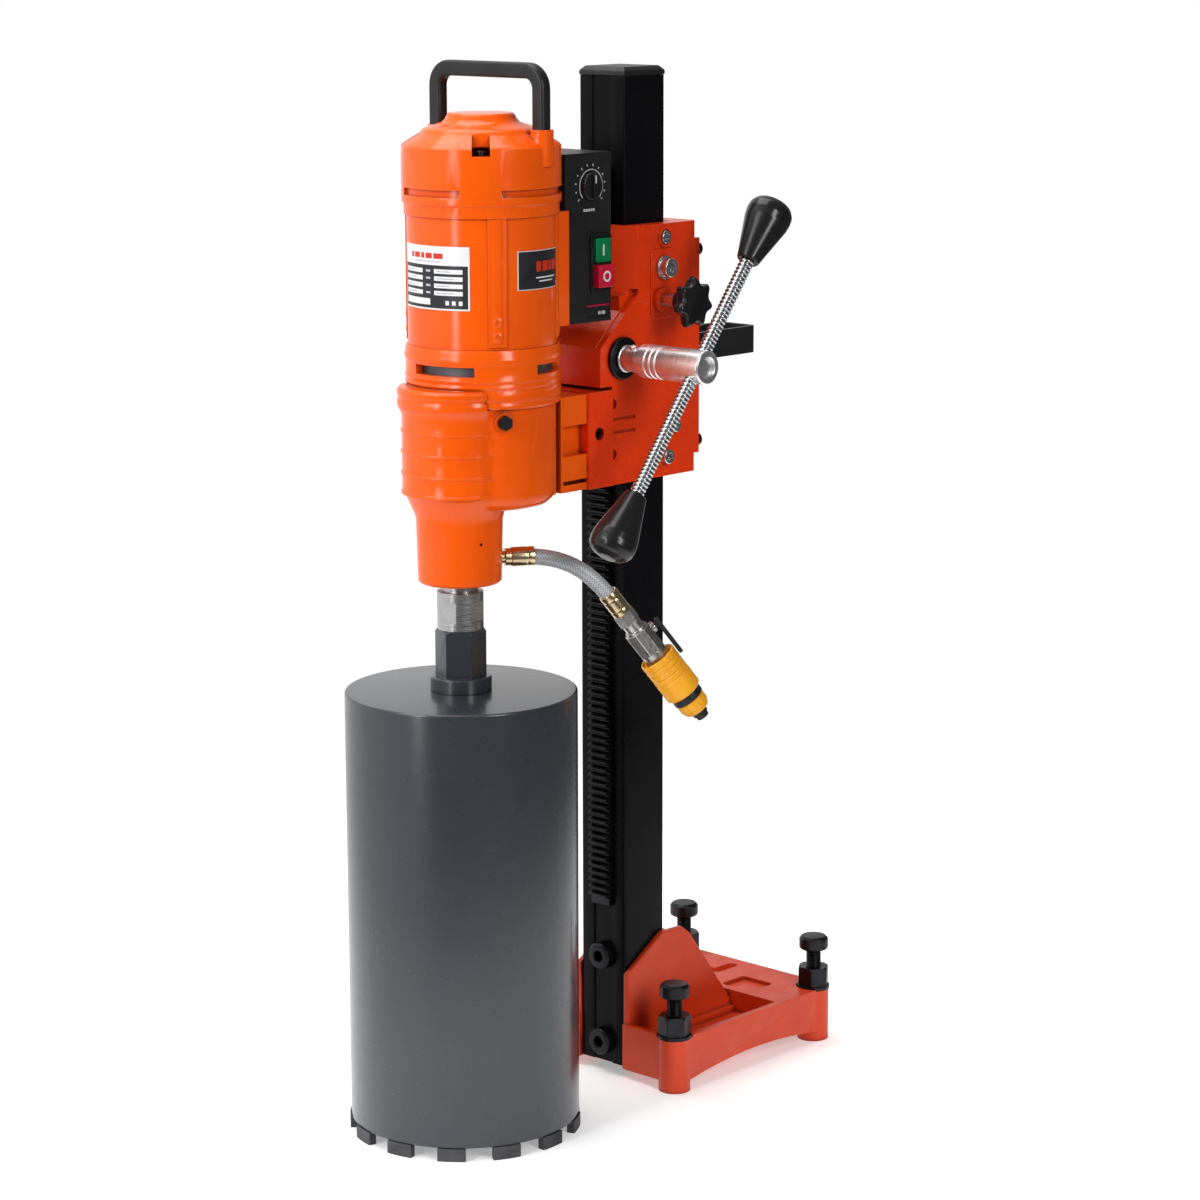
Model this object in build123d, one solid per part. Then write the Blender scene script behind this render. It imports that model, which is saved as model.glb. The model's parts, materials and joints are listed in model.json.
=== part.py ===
# Core drill rig: stand with column and rack, crank-fed carriage, water-fed drill motor and core bit.
# Built in millimetres, +Z up, with the column's axis at x = 0, y = 0 and the floor at z = 0.
# +X is the crank's side and -Y is the drill's side. PLACE then moves every piece so that the row's
# origin is the bottom centre of the rig's box, without the water hose.
import math
import os

from build123d import *

os.makedirs("parts", exist_ok=True)

# ---- driving dimensions: the stand ----
COLUMN_W = 60.0
COLUMN_WALL = 6.0
COLUMN_BOTTOM = 11.3
COLUMN_TOP = 1027.0
CAP_TOP = 1036.0
LID_SEAT = 961.2
GROOVE_DEPTH = 1.5
RACK_W = 25.0
RACK_BOTTOM = 181.5
FOOT_X = 92.1
FOOT_YS = (-22.6, 201.7)
FOOT_R = 16.4
FOOT_TOP = 56.0
SKIRT_X = 106.0
SKIRT_FRONT = -34.0
SKIRT_REAR = 216.0
RIM_Z = 58.0
TRAY_Z = 35.0
TRAY_REAR = 130.0
SKIRT_WALL = 7.0
GUSSET_IN = 30.3
GUSSET_OUT = 36.3
WEB_REAR = 40.0
BOLT_ZS = (33.6, 126.0)
SCREW_R = 8.0
THREAD_R = 8.06

# ---- driving dimensions: the carriage ----
SIDE_X = 47.5
CARRIAGE_Z = (628.5, 882.0)
CARRIAGE_REAR = 59.3
CAVITY = 32.5
PAD_GAP = 0.3
NOSE_Y = -84.0
BLOCK_YS = (-102.0, -67.0)
BLOCK_ZS = (628.5, 724.0)
BLOCK_X = 49.0
CRANK_Y = -52.5
CRANK_Z = 753.7
KNOB_AT = (3.7, 807.0)

# ---- driving dimensions: the drill ----
MOTOR_Y = -199.0
SPINDLE_Y = -233.3
RING_ZS = (723.0, 779.5)
VENT_ZS = (754.2, 763.4)
BODY_TOP = 911.5
BODY_R = 72.0
LID_R = 76.5
LID_TOP = 998.0
BODY_IN = 66.0
NOSE_R = 54.5
REAR_R = 70.0
BIT_R = 115.0
BARREL_R = 113.5
BARREL_WALL = 4.0
BARREL_TOP = 443.0
SEGMENTS = 13
SEGMENT_H = 13.0
HANDLE_TOP = 1046.0
BOX_YS = (-128.0, -66.6)
BOX_ZS = (793.0, 957.0)

# ---- driving dimensions: the gears ----
RACK_MODULE = 2.5
CRANK_TEETH = 12
FAST_MODULE = 1.0
ARMATURE_TEETH = 12
IDLER_TEETH = 56
SLOW_MODULE = 1.5
IDLER_PINION_TEETH = 11
SPINDLE_TEETH = 64
PRESSURE = math.radians(25)
BACKLASH = 0.3

IDLER_AT = (31.766, -186.878)

# ---- driving dimensions: the water hose ----
HOSE_R = 8.0
HOSE_DIR = (0.56, 0.8285)
HOSE_EXIT_Z = 571.7
HOSE_RUNS = (30.0, 36.0, 36.0, 33.0)
HOSE_PITCHES = (0.0, 18.0, 40.0, 53.0)

PLACE = Pos(-26.856, 64.553, 0)


def save(shape, name):
    """Writes one node, moved to the row's frame."""
    export_step(PLACE * shape, f"parts/{name}.step")


def group(solids):
    """Several separate solids in one node."""
    return Compound([solid for shape in solids for solid in shape.solids()])


def rod_z(x, y, z_low, z_high, r):
    return Pos(x, y, (z_low + z_high) / 2) * Cylinder(r, z_high - z_low)


def rod_x(x_low, x_high, y, z, r):
    return Pos((x_low + x_high) / 2, y, z) * Rot(0, 90, 0) * Cylinder(r, x_high - x_low)


def rod_y(x, y_low, y_high, z, r):
    return Pos(x, (y_low + y_high) / 2, z) * Rot(90, 0, 0) * Cylinder(r, y_high - y_low)


def block(x_low, x_high, y_low, y_high, z_low, z_high):
    centre = Pos((x_low + x_high) / 2, (y_low + y_high) / 2, (z_low + z_high) / 2)
    return centre * Box(x_high - x_low, y_high - y_low, z_high - z_low)


def tube_z(x, y, z_low, z_high, r_out, r_in):
    return rod_z(x, y, z_low, z_high, r_out) - rod_z(x, y, z_low - 1, z_high + 1, r_in)


def lathe(points, x=0.0, y=0.0):
    """A turned solid about a vertical axis, from (radius, height) points."""
    profile = make_face(Polyline([(r, 0, z) for r, z in points], close=True))
    return Pos(x, y, 0) * revolve(profile, Axis.Z)


def prism_x(points, x_low, x_high):
    """A (y, z) outline, extruded along X."""
    face = make_face(Polyline([(x_low, y, z) for y, z in points], close=True))
    return extrude(face, amount=x_high - x_low, dir=(1, 0, 0))


def prism_z(points, z_low, z_high):
    """An (x, y) outline, extruded along Z."""
    face = make_face(Polyline([(x, y, z_low) for x, y in points], close=True))
    return extrude(face, amount=z_high - z_low, dir=(0, 0, 1))


def edges_on(shape, axis, value, tolerance=0.05):
    """The edges of a shape that lie wholly in one plane."""
    chosen = []
    for edge in shape.edges():
        box = edge.bounding_box()
        low = getattr(box.min, axis)
        high = getattr(box.max, axis)
        if abs(low - value) < tolerance and abs(high - value) < tolerance:
            chosen.append(edge)
    return chosen


def involute(angle):
    return math.tan(angle) - angle


def gear(module, teeth, width, addendum=0.9, dedendum=1.2, steps=3):
    """A spur gear about Z from z = 0, with one tooth centred on +X."""
    pitch_r = module * teeth / 2
    base_r = pitch_r * math.cos(PRESSURE)
    tip_r = pitch_r + addendum * module
    root_r = pitch_r - dedendum * module
    thickness = math.pi * module / 2 - BACKLASH / 2
    start_r = max(base_r, root_r)
    flank = []
    for i in range(steps + 1):
        r = start_r + (tip_r - start_r) * i / steps
        spread = involute(PRESSURE) - involute(math.acos(min(1, base_r / r)))
        flank.append((r, thickness / (2 * pitch_r) + spread))
    if root_r < base_r:
        flank.insert(0, (root_r, flank[0][1]))
    points = []
    for tooth in range(teeth):
        middle = 2 * math.pi * tooth / teeth
        for r, half in flank:
            points.append((r * math.cos(middle - half), r * math.sin(middle - half)))
        for r, half in reversed(flank):
            points.append((r * math.cos(middle + half), r * math.sin(middle + half)))
    return prism_z(points, 0, width)


def ring_bearing(x, y, z_low, z_high, r_out, r_in):
    """A sealed ball bearing: one closed ring with a shallow groove on both faces."""
    ring = tube_z(x, y, z_low, z_high, r_out, r_in)
    middle = (r_out + r_in) / 2
    groove = (r_out - r_in) * 0.22
    for low, high in ((z_low - 1, z_low + 0.6), (z_high - 0.6, z_high + 1)):
        ring -= tube_z(x, y, low, high, middle + groove, middle - groove)
    return ring


# ---------------------------------------------------------------- the stand

def column_tube():
    half = COLUMN_W / 2
    outer = block(-half, half, -half, half, COLUMN_BOTTOM, COLUMN_TOP)
    outer = fillet(outer.edges().filter_by(Axis.Z), 3)
    inner = half - COLUMN_WALL
    tube = outer - block(-inner, inner, -inner, inner, COLUMN_BOTTOM - 1, COLUMN_TOP + 1)
    groove = RACK_W / 2 + 0.2
    tube -= block(-groove, groove, -half - 1, -half + GROOVE_DEPTH, 0, COLUMN_TOP + 1)
    for z in BOLT_ZS:
        tube -= rod_y(0, -half - 1, half + 1, z, 8.3)
        tube -= rod_y(0, -half - 1, -half + 3.2, z, 16)
    return tube


def column_cap():
    half = COLUMN_W / 2 + 0.4
    cap = block(-half, half, -half, half, COLUMN_TOP + 0.2, CAP_TOP)
    cap = chamfer(edges_on(cap, "Z", CAP_TOP), 4.5)
    inner = COLUMN_W / 2 - COLUMN_WALL - 0.3
    return cap + block(-inner, inner, -inner, inner, COLUMN_TOP - 18, COLUMN_TOP + 1)


def rack_bar():
    pitch = math.pi * RACK_MODULE
    pitch_y = CRANK_Y + RACK_MODULE * CRANK_TEETH / 2
    tip_y = pitch_y - 0.9 * RACK_MODULE
    root_y = pitch_y + 1.2 * RACK_MODULE
    half = (pitch / 2 - BACKLASH / 2) / 2
    slope = math.tan(PRESSURE)
    tip_half = half - (pitch_y - tip_y) * slope
    root_half = half + (root_y - pitch_y) * slope
    # A gap between two teeth lies at the crank's height, so teeth are half a pitch off it.
    first = math.ceil((RACK_BOTTOM - CRANK_Z) / pitch) + 0.5
    points = [(-COLUMN_W / 2 + GROOVE_DEPTH - 0.05, RACK_BOTTOM), (root_y, RACK_BOTTOM)]
    for i in range(95):
        z = CRANK_Z + (first + i) * pitch
        points.append((root_y, z - root_half))
        points.append((tip_y, z - tip_half))
        points.append((tip_y, z + tip_half))
        points.append((root_y, z + root_half))
    top = CRANK_Z + (first + 95) * pitch
    points += [(root_y, top), (-COLUMN_W / 2 + GROOVE_DEPTH - 0.05, top)]
    return prism_x(points, -RACK_W / 2, RACK_W / 2)


def base_casting():
    outline = [
        (-SKIRT_X, SKIRT_FRONT),
        (SKIRT_X, SKIRT_FRONT),
        (SKIRT_X, SKIRT_REAR),
        (-SKIRT_X, SKIRT_REAR),
    ]
    low = 10.0
    body = prism_z(outline, low, RIM_Z)
    body = fillet(body.edges().filter_by(Axis.Z), 9)
    inside_x = SKIRT_X - SKIRT_WALL
    inside_front = SKIRT_FRONT + SKIRT_WALL
    inside_rear = SKIRT_REAR - SKIRT_WALL
    # hollow underneath, then the open tray in front of the rear deck
    body -= block(-inside_x, inside_x, inside_front, inside_rear, 0, TRAY_Z - 6)
    body -= block(-inside_x, inside_x, TRAY_REAR + 6, inside_rear, 0, RIM_Z - 7)
    body -= block(-inside_x, inside_x, inside_front, TRAY_REAR, TRAY_Z, RIM_Z + 1)
    # the skirts arch up between the feet
    for side in (-1, 1):
        arch = Pos(side * SKIRT_X, 89.5, -580 + 20) * Rot(0, 90, 0) * Cylinder(580, 30)
        body -= arch
    body -= Pos(0, SKIRT_REAR, -300 + 20) * Rot(90, 0, 0) * Cylinder(300, 30)
    # levelling feet
    for x in (-FOOT_X, FOOT_X):
        for y in FOOT_YS:
            body += rod_z(x, y, 0, FOOT_TOP, FOOT_R)
            body -= rod_z(x, y, FOOT_TOP, RIM_Z + 5, FOOT_R + 2.2)
    # side gussets, their foot ledges and the rear web that holds the column
    gusset = [
        (-32, 11.5), (-32, 112), (22.5, 146), (53, 145), (65, 136), (137, 40), (137, 29), (40, 29), (40, 11.5),
    ]
    for side in (-1, 1):
        x_low, x_high = sorted((side * GUSSET_IN, side * GUSSET_OUT))
        plate = prism_x(gusset, x_low, x_high)
        plate = fillet(edges_on(plate, "X", side * GUSSET_OUT), 1.5)
        body += plate
        x_low, x_high = sorted((side * (GUSSET_OUT - 1), side * (GUSSET_OUT + 6)))
        body += block(x_low, x_high, -27, 131, TRAY_Z - 1, TRAY_Z + 6.5)
    body += block(-GUSSET_OUT, GUSSET_OUT, 30.3, WEB_REAR, 11.5, 143)
    # the column's socket
    socket = GUSSET_IN
    body -= block(-socket, socket, SKIRT_FRONT - 1, 30.3, 0, 200)
    for z in BOLT_ZS:
        body -= rod_y(0, 25, WEB_REAR + 5, z, 7.9)
    # rear deck: anchor slot and two side pockets
    slot = block(-24.5, -11.5, 172.5, 195.5, 30, RIM_Z + 1)
    slot += rod_z(-18, 172.5, 30, RIM_Z + 1, 6.5) + rod_z(-18, 195.5, 30, RIM_Z + 1, 6.5)
    body -= slot
    for side in (-1, 1):
        x_low, x_high = sorted((side * 16, side * 58))
        pocket = block(x_low, x_high, 137 + 2, 176, RIM_Z - 4, RIM_Z + 1)
        body -= fillet(pocket.edges().filter_by(Axis.Z), 5)
    for x in (-FOOT_X, FOOT_X):
        for y in FOOT_YS:
            body -= rod_z(x, y, -1, FOOT_TOP + 1, THREAD_R)
    return body


def column_bolts():
    bolts = []
    for z in BOLT_ZS:
        head = rod_y(0, -38.5, -26.8, z, 14)
        head = chamfer(edges_on(head, "Y", -38.5), 1.2)
        hex_face = RegularPolygon(6.5, 6)
        socket = extrude(Plane(origin=(0, -39, z), z_dir=(0, 1, 0)) * hex_face, amount=7)
        bolts.append(head + rod_y(0, -27, WEB_REAR, z, 7.85) - socket)
    return group(bolts)


def hexagon(x, y, z_low, z_high, across, turn=0.0):
    face = Pos(x, y, z_low) * Rot(0, 0, turn) * RegularPolygon(across / math.sqrt(3), 6)
    return extrude(face, amount=z_high - z_low, dir=(0, 0, 1))


def foot_lock_nuts():
    pieces = []
    for i, x in enumerate((-FOOT_X, FOOT_X)):
        for j, y in enumerate(FOOT_YS):
            washer = tube_z(x, y, FOOT_TOP, FOOT_TOP + 3.5, 17.3, THREAD_R)
            nut = hexagon(x, y, FOOT_TOP + 3.5, FOOT_TOP + 24, 30, 12 + 17 * (2 * i + j))
            nut = nut & lathe([(0, 59), (15.4, 59), (17.2, 61), (17.2, 78), (15.4, 80), (0, 80)], x, y)
            pieces += [washer, nut - rod_z(x, y, 40, 90, THREAD_R)]
    return group(pieces)


def leveling_screw(x, y):
    head = lathe([(0, 99), (14.4, 99), (15.4, 100.4), (15.4, 111), (13.6, 113.6), (0, 113.6)], x, y)
    head = head & (hexagon(x, y, 98, 115, 29.4, 10) + rod_z(x, y, 98, 115, 14.95))
    shank = rod_z(x, y, 3, 100, SCREW_R)
    shank = chamfer(edges_on(shank, "Z", 3), 1.5)
    return head + shank


save(column_tube(), "column_tube")
save(column_cap(), "column_cap")
save(rack_bar(), "rack_bar")
save(base_casting(), "base_casting")
save(column_bolts(), "column_bolts")
save(foot_lock_nuts(), "foot_lock_nuts")
for side_name, foot_x in (("left", -FOOT_X), ("right", FOOT_X)):
    for end_name, foot_y in zip(("front", "rear"), FOOT_YS):
        save(leveling_screw(foot_x, foot_y), f"leveling_screw_{end_name}_{side_name}")


# ---------------------------------------------------------------- the carriage

ADJUSTERS = ((11.0, 868.4, 4.0, 6.5), (7.5, 838.9, 5.0, 9.5), (22.0, 679.0, 4.0, 6.5), (10.0, 649.0, 4.0, 7.5))
NOTCH_ZS = (659.0, 709.0)


def carriage_housing():
    low, high = CARRIAGE_Z
    # side outline: straight back, flat top, sloped shoulder and crank nose, foot under the nose
    outline = [
        (CARRIAGE_REAR, low),
        (CARRIAGE_REAR, high),
        (-48, high),
        (-48, 799),
        (NOSE_Y, 766),
        (NOSE_Y, 727),
        (BLOCK_YS[1], 727),
        (BLOCK_YS[1], low),
    ]
    body = prism_x(outline, -SIDE_X, SIDE_X)
    # 45 degree corners on the upper front and a sloped one along the shoulder
    for side in (-1, 1):
        corner = prism_z(
            [(side * 48.5, -27.9), (side * 28.4, -48.1), (side * 28.4, -60), (side * 48.5, -60)],
            814,
            high + 1,
        )
        body -= corner
        wedge = prism_x([(-27.9, 815), (-90, 759.5), (-90, 820), (-27.9, 820)], 40, 60)
        body -= wedge if side > 0 else mirror(wedge, Plane.YZ)
    body = fillet(
        [e for e in edges_on(body, "Y", CARRIAGE_REAR) if e.bounding_box().size.Z > 100], 6
    )
    # the column's way through, with the rack's channel in front
    body -= block(-CAVITY, CAVITY, -CAVITY, CAVITY, low - 1, high + 1)
    body -= block(-15, 15, -42.5, 0, low - 1, high + 1)
    # the pinion's chamber and the crank shaft's bores
    body -= rod_x(-14.5, 14.5, CRANK_Y, CRANK_Z, 19)
    body -= rod_x(-60, 60, CRANK_Y, CRANK_Z, 13)
    # lightening pocket behind the rear plate
    body -= block(-26, 26, 40, CARRIAGE_REAR + 1, 660, 850)
    # pads and bores for the guide adjusters
    for y, z, r, head_r in ADJUSTERS:
        pad = rod_x(SIDE_X - 1, SIDE_X + 1.5, y, z, head_r + 4)
        body += pad
        body -= rod_x(CAVITY - 1, SIDE_X + 5, y, z, r + 0.2)
    y, z, r, head_r = ADJUSTERS[0]
    body -= rod_x(SIDE_X - 3, SIDE_X + 5, y, z, head_r + 1.2)
    body += rod_x(SIDE_X - 1, SIDE_X + 6.5, KNOB_AT[0], KNOB_AT[1], 11.5)
    body -= rod_x(CAVITY - 1, SIDE_X + 10, KNOB_AT[0], KNOB_AT[1], 6.06)
    # two ribs' grooves and the half-covered holes on each flank
    for side in (-1, 1):
        x_low, x_high = sorted((side * (SIDE_X - 1.6), side * (SIDE_X + 1)))
        for z in (681, 694):
            body -= block(x_low, x_high, BLOCK_YS[1] - 1, -33, z - 1.6, z + 1.6)
        for z in NOTCH_ZS:
            x_low, x_high = sorted((side * (SIDE_X - 8), side * (SIDE_X + 1)))
            body -= rod_x(x_low, x_high, -65.5, z, 5.5)
    # tapped holes for the block's and the plate's screws
    for x in BLOCK_SCREW_XS:
        for z in (650, 700):
            body -= rod_y(x, BLOCK_YS[1] - 1, -50, z, 4.15)
    for x, z in PLATE_SCREWS + HANDLE_SCREWS:
        body -= rod_y(x, 45, CARRIAGE_REAR + 1, z, 4.15)
    return body


PLATE_SCREWS = [(x, z) for x in (-36, 36) for z in (658, 852)]
HANDLE_SCREWS = [(-33, 750), (33, 750)]


def rear_cover_plate():
    plate = block(-44, 44, CARRIAGE_REAR, 68.7, 646, 864)
    plate = chamfer(edges_on(plate, "Y", 68.7), 1.5)
    for x, z in PLATE_SCREWS + HANDLE_SCREWS:
        plate -= rod_y(x, 50, 70, z, 4.15)
    return plate


def rear_handle():
    """A strap bent to a U that stands out behind the carriage."""
    half, depth, thick, low, high = 25.0, 181.0, 5.0, 736.0, 764.0
    outer = block(-half, half, 68.7, depth, low, high)
    outer = fillet([e for e in edges_on(outer, "Y", depth) if e.bounding_box().size.Z > 5], 9)
    inner = block(-half + thick, half - thick, 60, depth - thick, low - 1, high + 1)
    inner = fillet([e for e in edges_on(inner, "Y", depth - thick) if e.bounding_box().size.Z > 5], 5)
    strap = outer - inner
    for side in (-1, 1):
        x_low, x_high = sorted((side * (half - thick), side * (half + 15)))
        foot = block(x_low, x_high, 68.7, 73.5, low, high)
        foot -= rod_y(side * (half + 8), 60, 80, 750, 4.15)
        strap += foot
    return strap


def guide_pads():
    pads = []
    low, high = CARRIAGE_Z
    inner = COLUMN_W / 2 + PAD_GAP
    for z in (low + 8, high - 68):
        pads.append(block(inner, CAVITY, -20, 20, z, z + 60))
        pads.append(block(-CAVITY, -inner, -20, 20, z, z + 60))
        pads.append(block(-20, 20, inner, CAVITY, z, z + 60))
        for side in (-1, 1):
            x_low, x_high = sorted((side * 16, side * 29))
            pads.append(block(x_low, x_high, -CAVITY, -inner, z, z + 60))
    return group(pads)


def socket_screw_x(x_face, y, z, shank_r, head_r, head_h, x_end, washer=0.0):
    """A cap screw along X, with its head's seat at x_face and its tip at x_end."""
    out = 1 if x_face > x_end else -1
    head_low = x_face + out * washer
    head_high = head_low + out * head_h
    head = rod_x(*sorted((head_low, head_high)), y, z, head_r)
    head = chamfer(edges_on(head, "X", head_high), 0.8)
    if washer:
        head += rod_x(*sorted((x_face, head_low)), y, z, head_r + 2.2)
    head += rod_x(*sorted((x_end, head_low)), y, z, shank_r)
    face = Plane(origin=(head_high, y, z), z_dir=(-out, 0, 0)) * RegularPolygon(head_r * 0.55, 6)
    return head - extrude(face, amount=head_h * 0.6)


def guide_adjusters():
    screws = []
    for i, (y, z, r, head_r) in enumerate(ADJUSTERS):
        face = SIDE_X - 3 if i == 0 else SIDE_X + 1.5
        screws.append(socket_screw_x(face, y, z, r, head_r, head_r * 0.9, CAVITY + 0.2, 3.0 if i == 1 else 0.0))
    return group(screws)


def socket_screw(head_r, head_h, shank_r, length):
    """A cap screw about Z with its seat at z = 0 and its head upward."""
    head = chamfer(edges_on(Pos(0, 0, head_h / 2) * Cylinder(head_r, head_h), "Z", head_h), 0.6)
    head += Pos(0, 0, -length / 2 + 0.01) * Cylinder(shank_r, length)
    face = Pos(0, 0, head_h) * RegularPolygon(head_r * 0.55, 6)
    return head - extrude(face, amount=-head_h * 0.6)


def crank_bushings():
    bushes = []
    for side in (-1, 1):
        flange = rod_x(*sorted((side * SIDE_X, side * (SIDE_X + 4.5))), CRANK_Y, CRANK_Z, 21)
        flange = chamfer(edges_on(flange, "X", side * (SIDE_X + 4.5)), 1.2)
        sleeve = rod_x(*sorted((side * 15.0, side * SIDE_X)), CRANK_Y, CRANK_Z, 12.95)
        bushes.append(flange + sleeve - rod_x(-90, 90, CRANK_Y, CRANK_Z, 10.06))
    return group(bushes)


BLOCK_SCREW_XS = (-39.5, 39.5)


def dovetail(gap, z_low, z_high):
    """The drill's tongue in the block, or its slot when a gap is given."""
    front = BLOCK_YS[0] - 1
    points = [(-18 - gap, front), (18 + gap, front), (26 + gap, -84 + gap), (-26 - gap, -84 + gap)]
    return prism_z(points, z_low, z_high)


def mount_block():
    (y_low, y_high), (z_low, z_high) = BLOCK_YS, BLOCK_ZS
    body = block(-BLOCK_X, BLOCK_X, y_low, y_high, z_low, z_high)
    body = fillet([e for e in edges_on(body, "Y", y_low) if e.bounding_box().size.Z > 20], 3)
    body -= dovetail(0.15, z_low - 1, z_high - 9.85)
    for side in (-1, 1):
        body -= rod_x(*sorted((side * 40, side * (BLOCK_X + 1))), -86.5, 682, 6.6)
        body -= rod_x(*sorted((side * 20, side * 41)), -86.5, 682, 3.15)
    for x in BLOCK_SCREW_XS:
        for z in (650, 700):
            body -= rod_y(x, y_low - 1, y_low + 10, z, 7.2)
            body -= rod_y(x, y_low, y_high + 1, z, 4.15)
    return body


LID_SCREW_TURNS = (-134.5, -45.5, 40.0, 140.0)


def lid_screw_places():
    turns = [math.radians(a) for a in LID_SCREW_TURNS]
    return [(64.5 * math.cos(a), MOTOR_Y + 64.5 * math.sin(a)) for a in turns]


def socket_screws():
    screws = []
    for x, y in lid_screw_places():
        screws.append(Pos(x, y, LID_SEAT) * socket_screw(4.5, 5, 2.4, 65))
    for x in BLOCK_SCREW_XS:
        for z in (650, 700):
            screws.append(Pos(x, BLOCK_YS[0] + 10, z) * Rot(90, 0, 0) * socket_screw(6.5, 8, 4.0, 36))
    for side in (-1, 1):
        screws.append(Pos(side * 40, -86.5, 682) * Rot(0, side * 90, 0) * socket_screw(5.5, 6, 3.0, 13.0))
    for x, z in PLATE_SCREWS:
        screws.append(Pos(x, 68.7, z) * Rot(-90, 0, 0) * socket_screw(6.5, 6, 4.0, 20))
    for x, z in HANDLE_SCREWS:
        screws.append(Pos(x, 73.5, z) * Rot(-90, 0, 0) * socket_screw(5.5, 5, 4.0, 25))
    return group(screws)


def lock_stud():
    return rod_x(CAVITY + 0.3, 78, KNOB_AT[0], KNOB_AT[1], 6.0)


def lock_knob():
    y, z = KNOB_AT
    body = rod_x(85, 97, y, z, 19)
    for i in range(7):
        a = math.radians(90 + 360 * i / 7)
        body += rod_x(86, 96, y + 18.4 * math.cos(a), z + 18.4 * math.sin(a), 6.6)
    body += rod_x(74, 86, y, z, 13.5)
    body -= rod_x(60, 78, y, z, 6.0)
    return body


save(carriage_housing(), "carriage_housing")
save(rear_cover_plate(), "rear_cover_plate")
save(rear_handle(), "rear_handle")
save(guide_pads(), "guide_pads")
save(guide_adjusters(), "guide_adjusters")
save(crank_bushings(), "crank_bushings")
save(mount_block(), "mount_block")
save(socket_screws(), "socket_screws")
save(lock_stud(), "lock_stud")
save(lock_knob(), "lock_knob")


# ---------------------------------------------------------------- the crank

ROD_X = 145.5
ROD_TILT = 37.5
ROD_R = 7.0
GRIP_STARTS = (121.4, -144.5)
GRIP_LENGTH = 69.0
GRIP_R = 23.0
HUB_END = 159.5


def on_rod(shape):
    """Turns a shape made about Z to the cross rod's axis through the hub."""
    return Pos(ROD_X, CRANK_Y, CRANK_Z) * Rot(-ROD_TILT, 0, 0) * shape


def crank_shaft():
    teeth = gear(RACK_MODULE, CRANK_TEETH, 26)
    teeth = Pos(-13, CRANK_Y, CRANK_Z) * Rot(0, 90, 0) * teeth
    return teeth + rod_x(-50, 112, CRANK_Y, CRANK_Z, 10.0)


def crank_hub():
    hub = rod_x(52.5, 55.5, CRANK_Y, CRANK_Z, 13.6)
    hub += rod_x(55, 77, CRANK_Y, CRANK_Z, 12.6)
    barrel = rod_x(76.5, HUB_END, CRANK_Y, CRANK_Z, 16.6)
    barrel = chamfer(barrel.edges().filter_by(GeomType.CIRCLE), 1.4)
    hub += barrel
    for x in (91, 98, 105):
        hub -= rod_x(x - 0.9, x + 0.9, CRANK_Y, CRANK_Z, 20) - rod_x(x - 2, x + 2, CRANK_Y, CRANK_Z, 15.6)
    hub -= rod_x(50, 112.5, CRANK_Y, CRANK_Z, 10.0)
    hub -= rod_x(155.3, 165, CRANK_Y, CRANK_Z, 9.5)
    return hub - on_rod(Cylinder(ROD_R, 60))


def crank_rod():
    low = GRIP_STARTS[1] - 40
    high = GRIP_STARTS[0] + 40
    return on_rod(Pos(0, 0, (low + high) / 2) * Cylinder(ROD_R, high - low))


def crank_grips():
    grips = []
    length = GRIP_LENGTH
    profile = [
        (0, 0), (11.2, 0), (GRIP_R, length - 21), (GRIP_R - 0.4, length - 13), (GRIP_R - 2.6, length - 7.5),
        (16.2, length - 3.6), (10.5, length - 1.2), (0, length),
    ]
    for start in GRIP_STARTS:
        grip = lathe(profile) - Cylinder(ROD_R, 80.2)
        if start < 0:
            grip = Rot(180, 0, 0) * grip
        grips.append(on_rod(Pos(0, 0, start) * grip))
    return group(grips)


save(crank_shaft(), "crank_shaft")
save(crank_hub(), "crank_hub")
save(crank_rod(), "crank_rod")
save(crank_grips(), "crank_grips")


# ---------------------------------------------------------------- the drill's housings

RING_SLOTS = ((-104.6, -51.7), (-1.2, 52.0), (129.0, 181.0))
BOX_SKIRT_Z = 903.2
DIAL_AT = (-98.0, 925.0)
START_BOX = (-90.0, -68.5, 850.0, 874.0)
STOP_BOX = (-92.0, -70.0, 826.0, 848.0)
PLUG_TURN = -29.5
HANDLE_X = 68.7
HANDLE_Y = -187.0


def wedge(x, y, low_turn, high_turn, r, z_low, z_high):
    """A sector of a disc between two angles in degrees."""
    points = [(x, y)]
    steps = max(2, int((high_turn - low_turn) / 12) + 1)
    for i in range(steps + 1):
        a = math.radians(low_turn + (high_turn - low_turn) * i / steps)
        points.append((x + r * math.cos(a), y + r * math.sin(a)))
    return prism_z(points, z_low, z_high)


def arc_plate(x, y, low_turn, high_turn, r_in, r_out, z_low, z_high):
    """A piece of tube wall between two angles in degrees."""
    return tube_z(x, y, z_low, z_high, r_out, r_in) & wedge(x, y, low_turn, high_turn, r_out * 1.5, z_low, z_high)


def motor_housing():
    low, high = RING_ZS[1], BODY_TOP
    body = rod_z(0, MOTOR_Y, low, high, BODY_R)
    body += block(-SIDE_X, SIDE_X, -150, BOX_YS[0], BOX_ZS[0], BOX_SKIRT_Z)
    for side in (-1, 1):
        turns = (-41, -27) if side > 0 else (-153, -139)
        body += arc_plate(0, MOTOR_Y, *turns, BODY_R - 1, BODY_R + 1.4, low + 3, BOX_SKIRT_Z)
    body -= rod_z(0, MOTOR_Y, low - 1, high + 1, BODY_IN)
    for x, y in lid_screw_places():
        pillar = rod_z(x, y, 889, high, 6.5) & rod_z(0, MOTOR_Y, 880, high, BODY_R - 0.5)
        body += pillar
        body -= rod_z(x, y, 894, high + 1, 2.5)
    # the wiring's way into the switch box
    body -= block(-12, 12, -150, BOX_YS[0] + 1, 850, 866)
    return body


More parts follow.
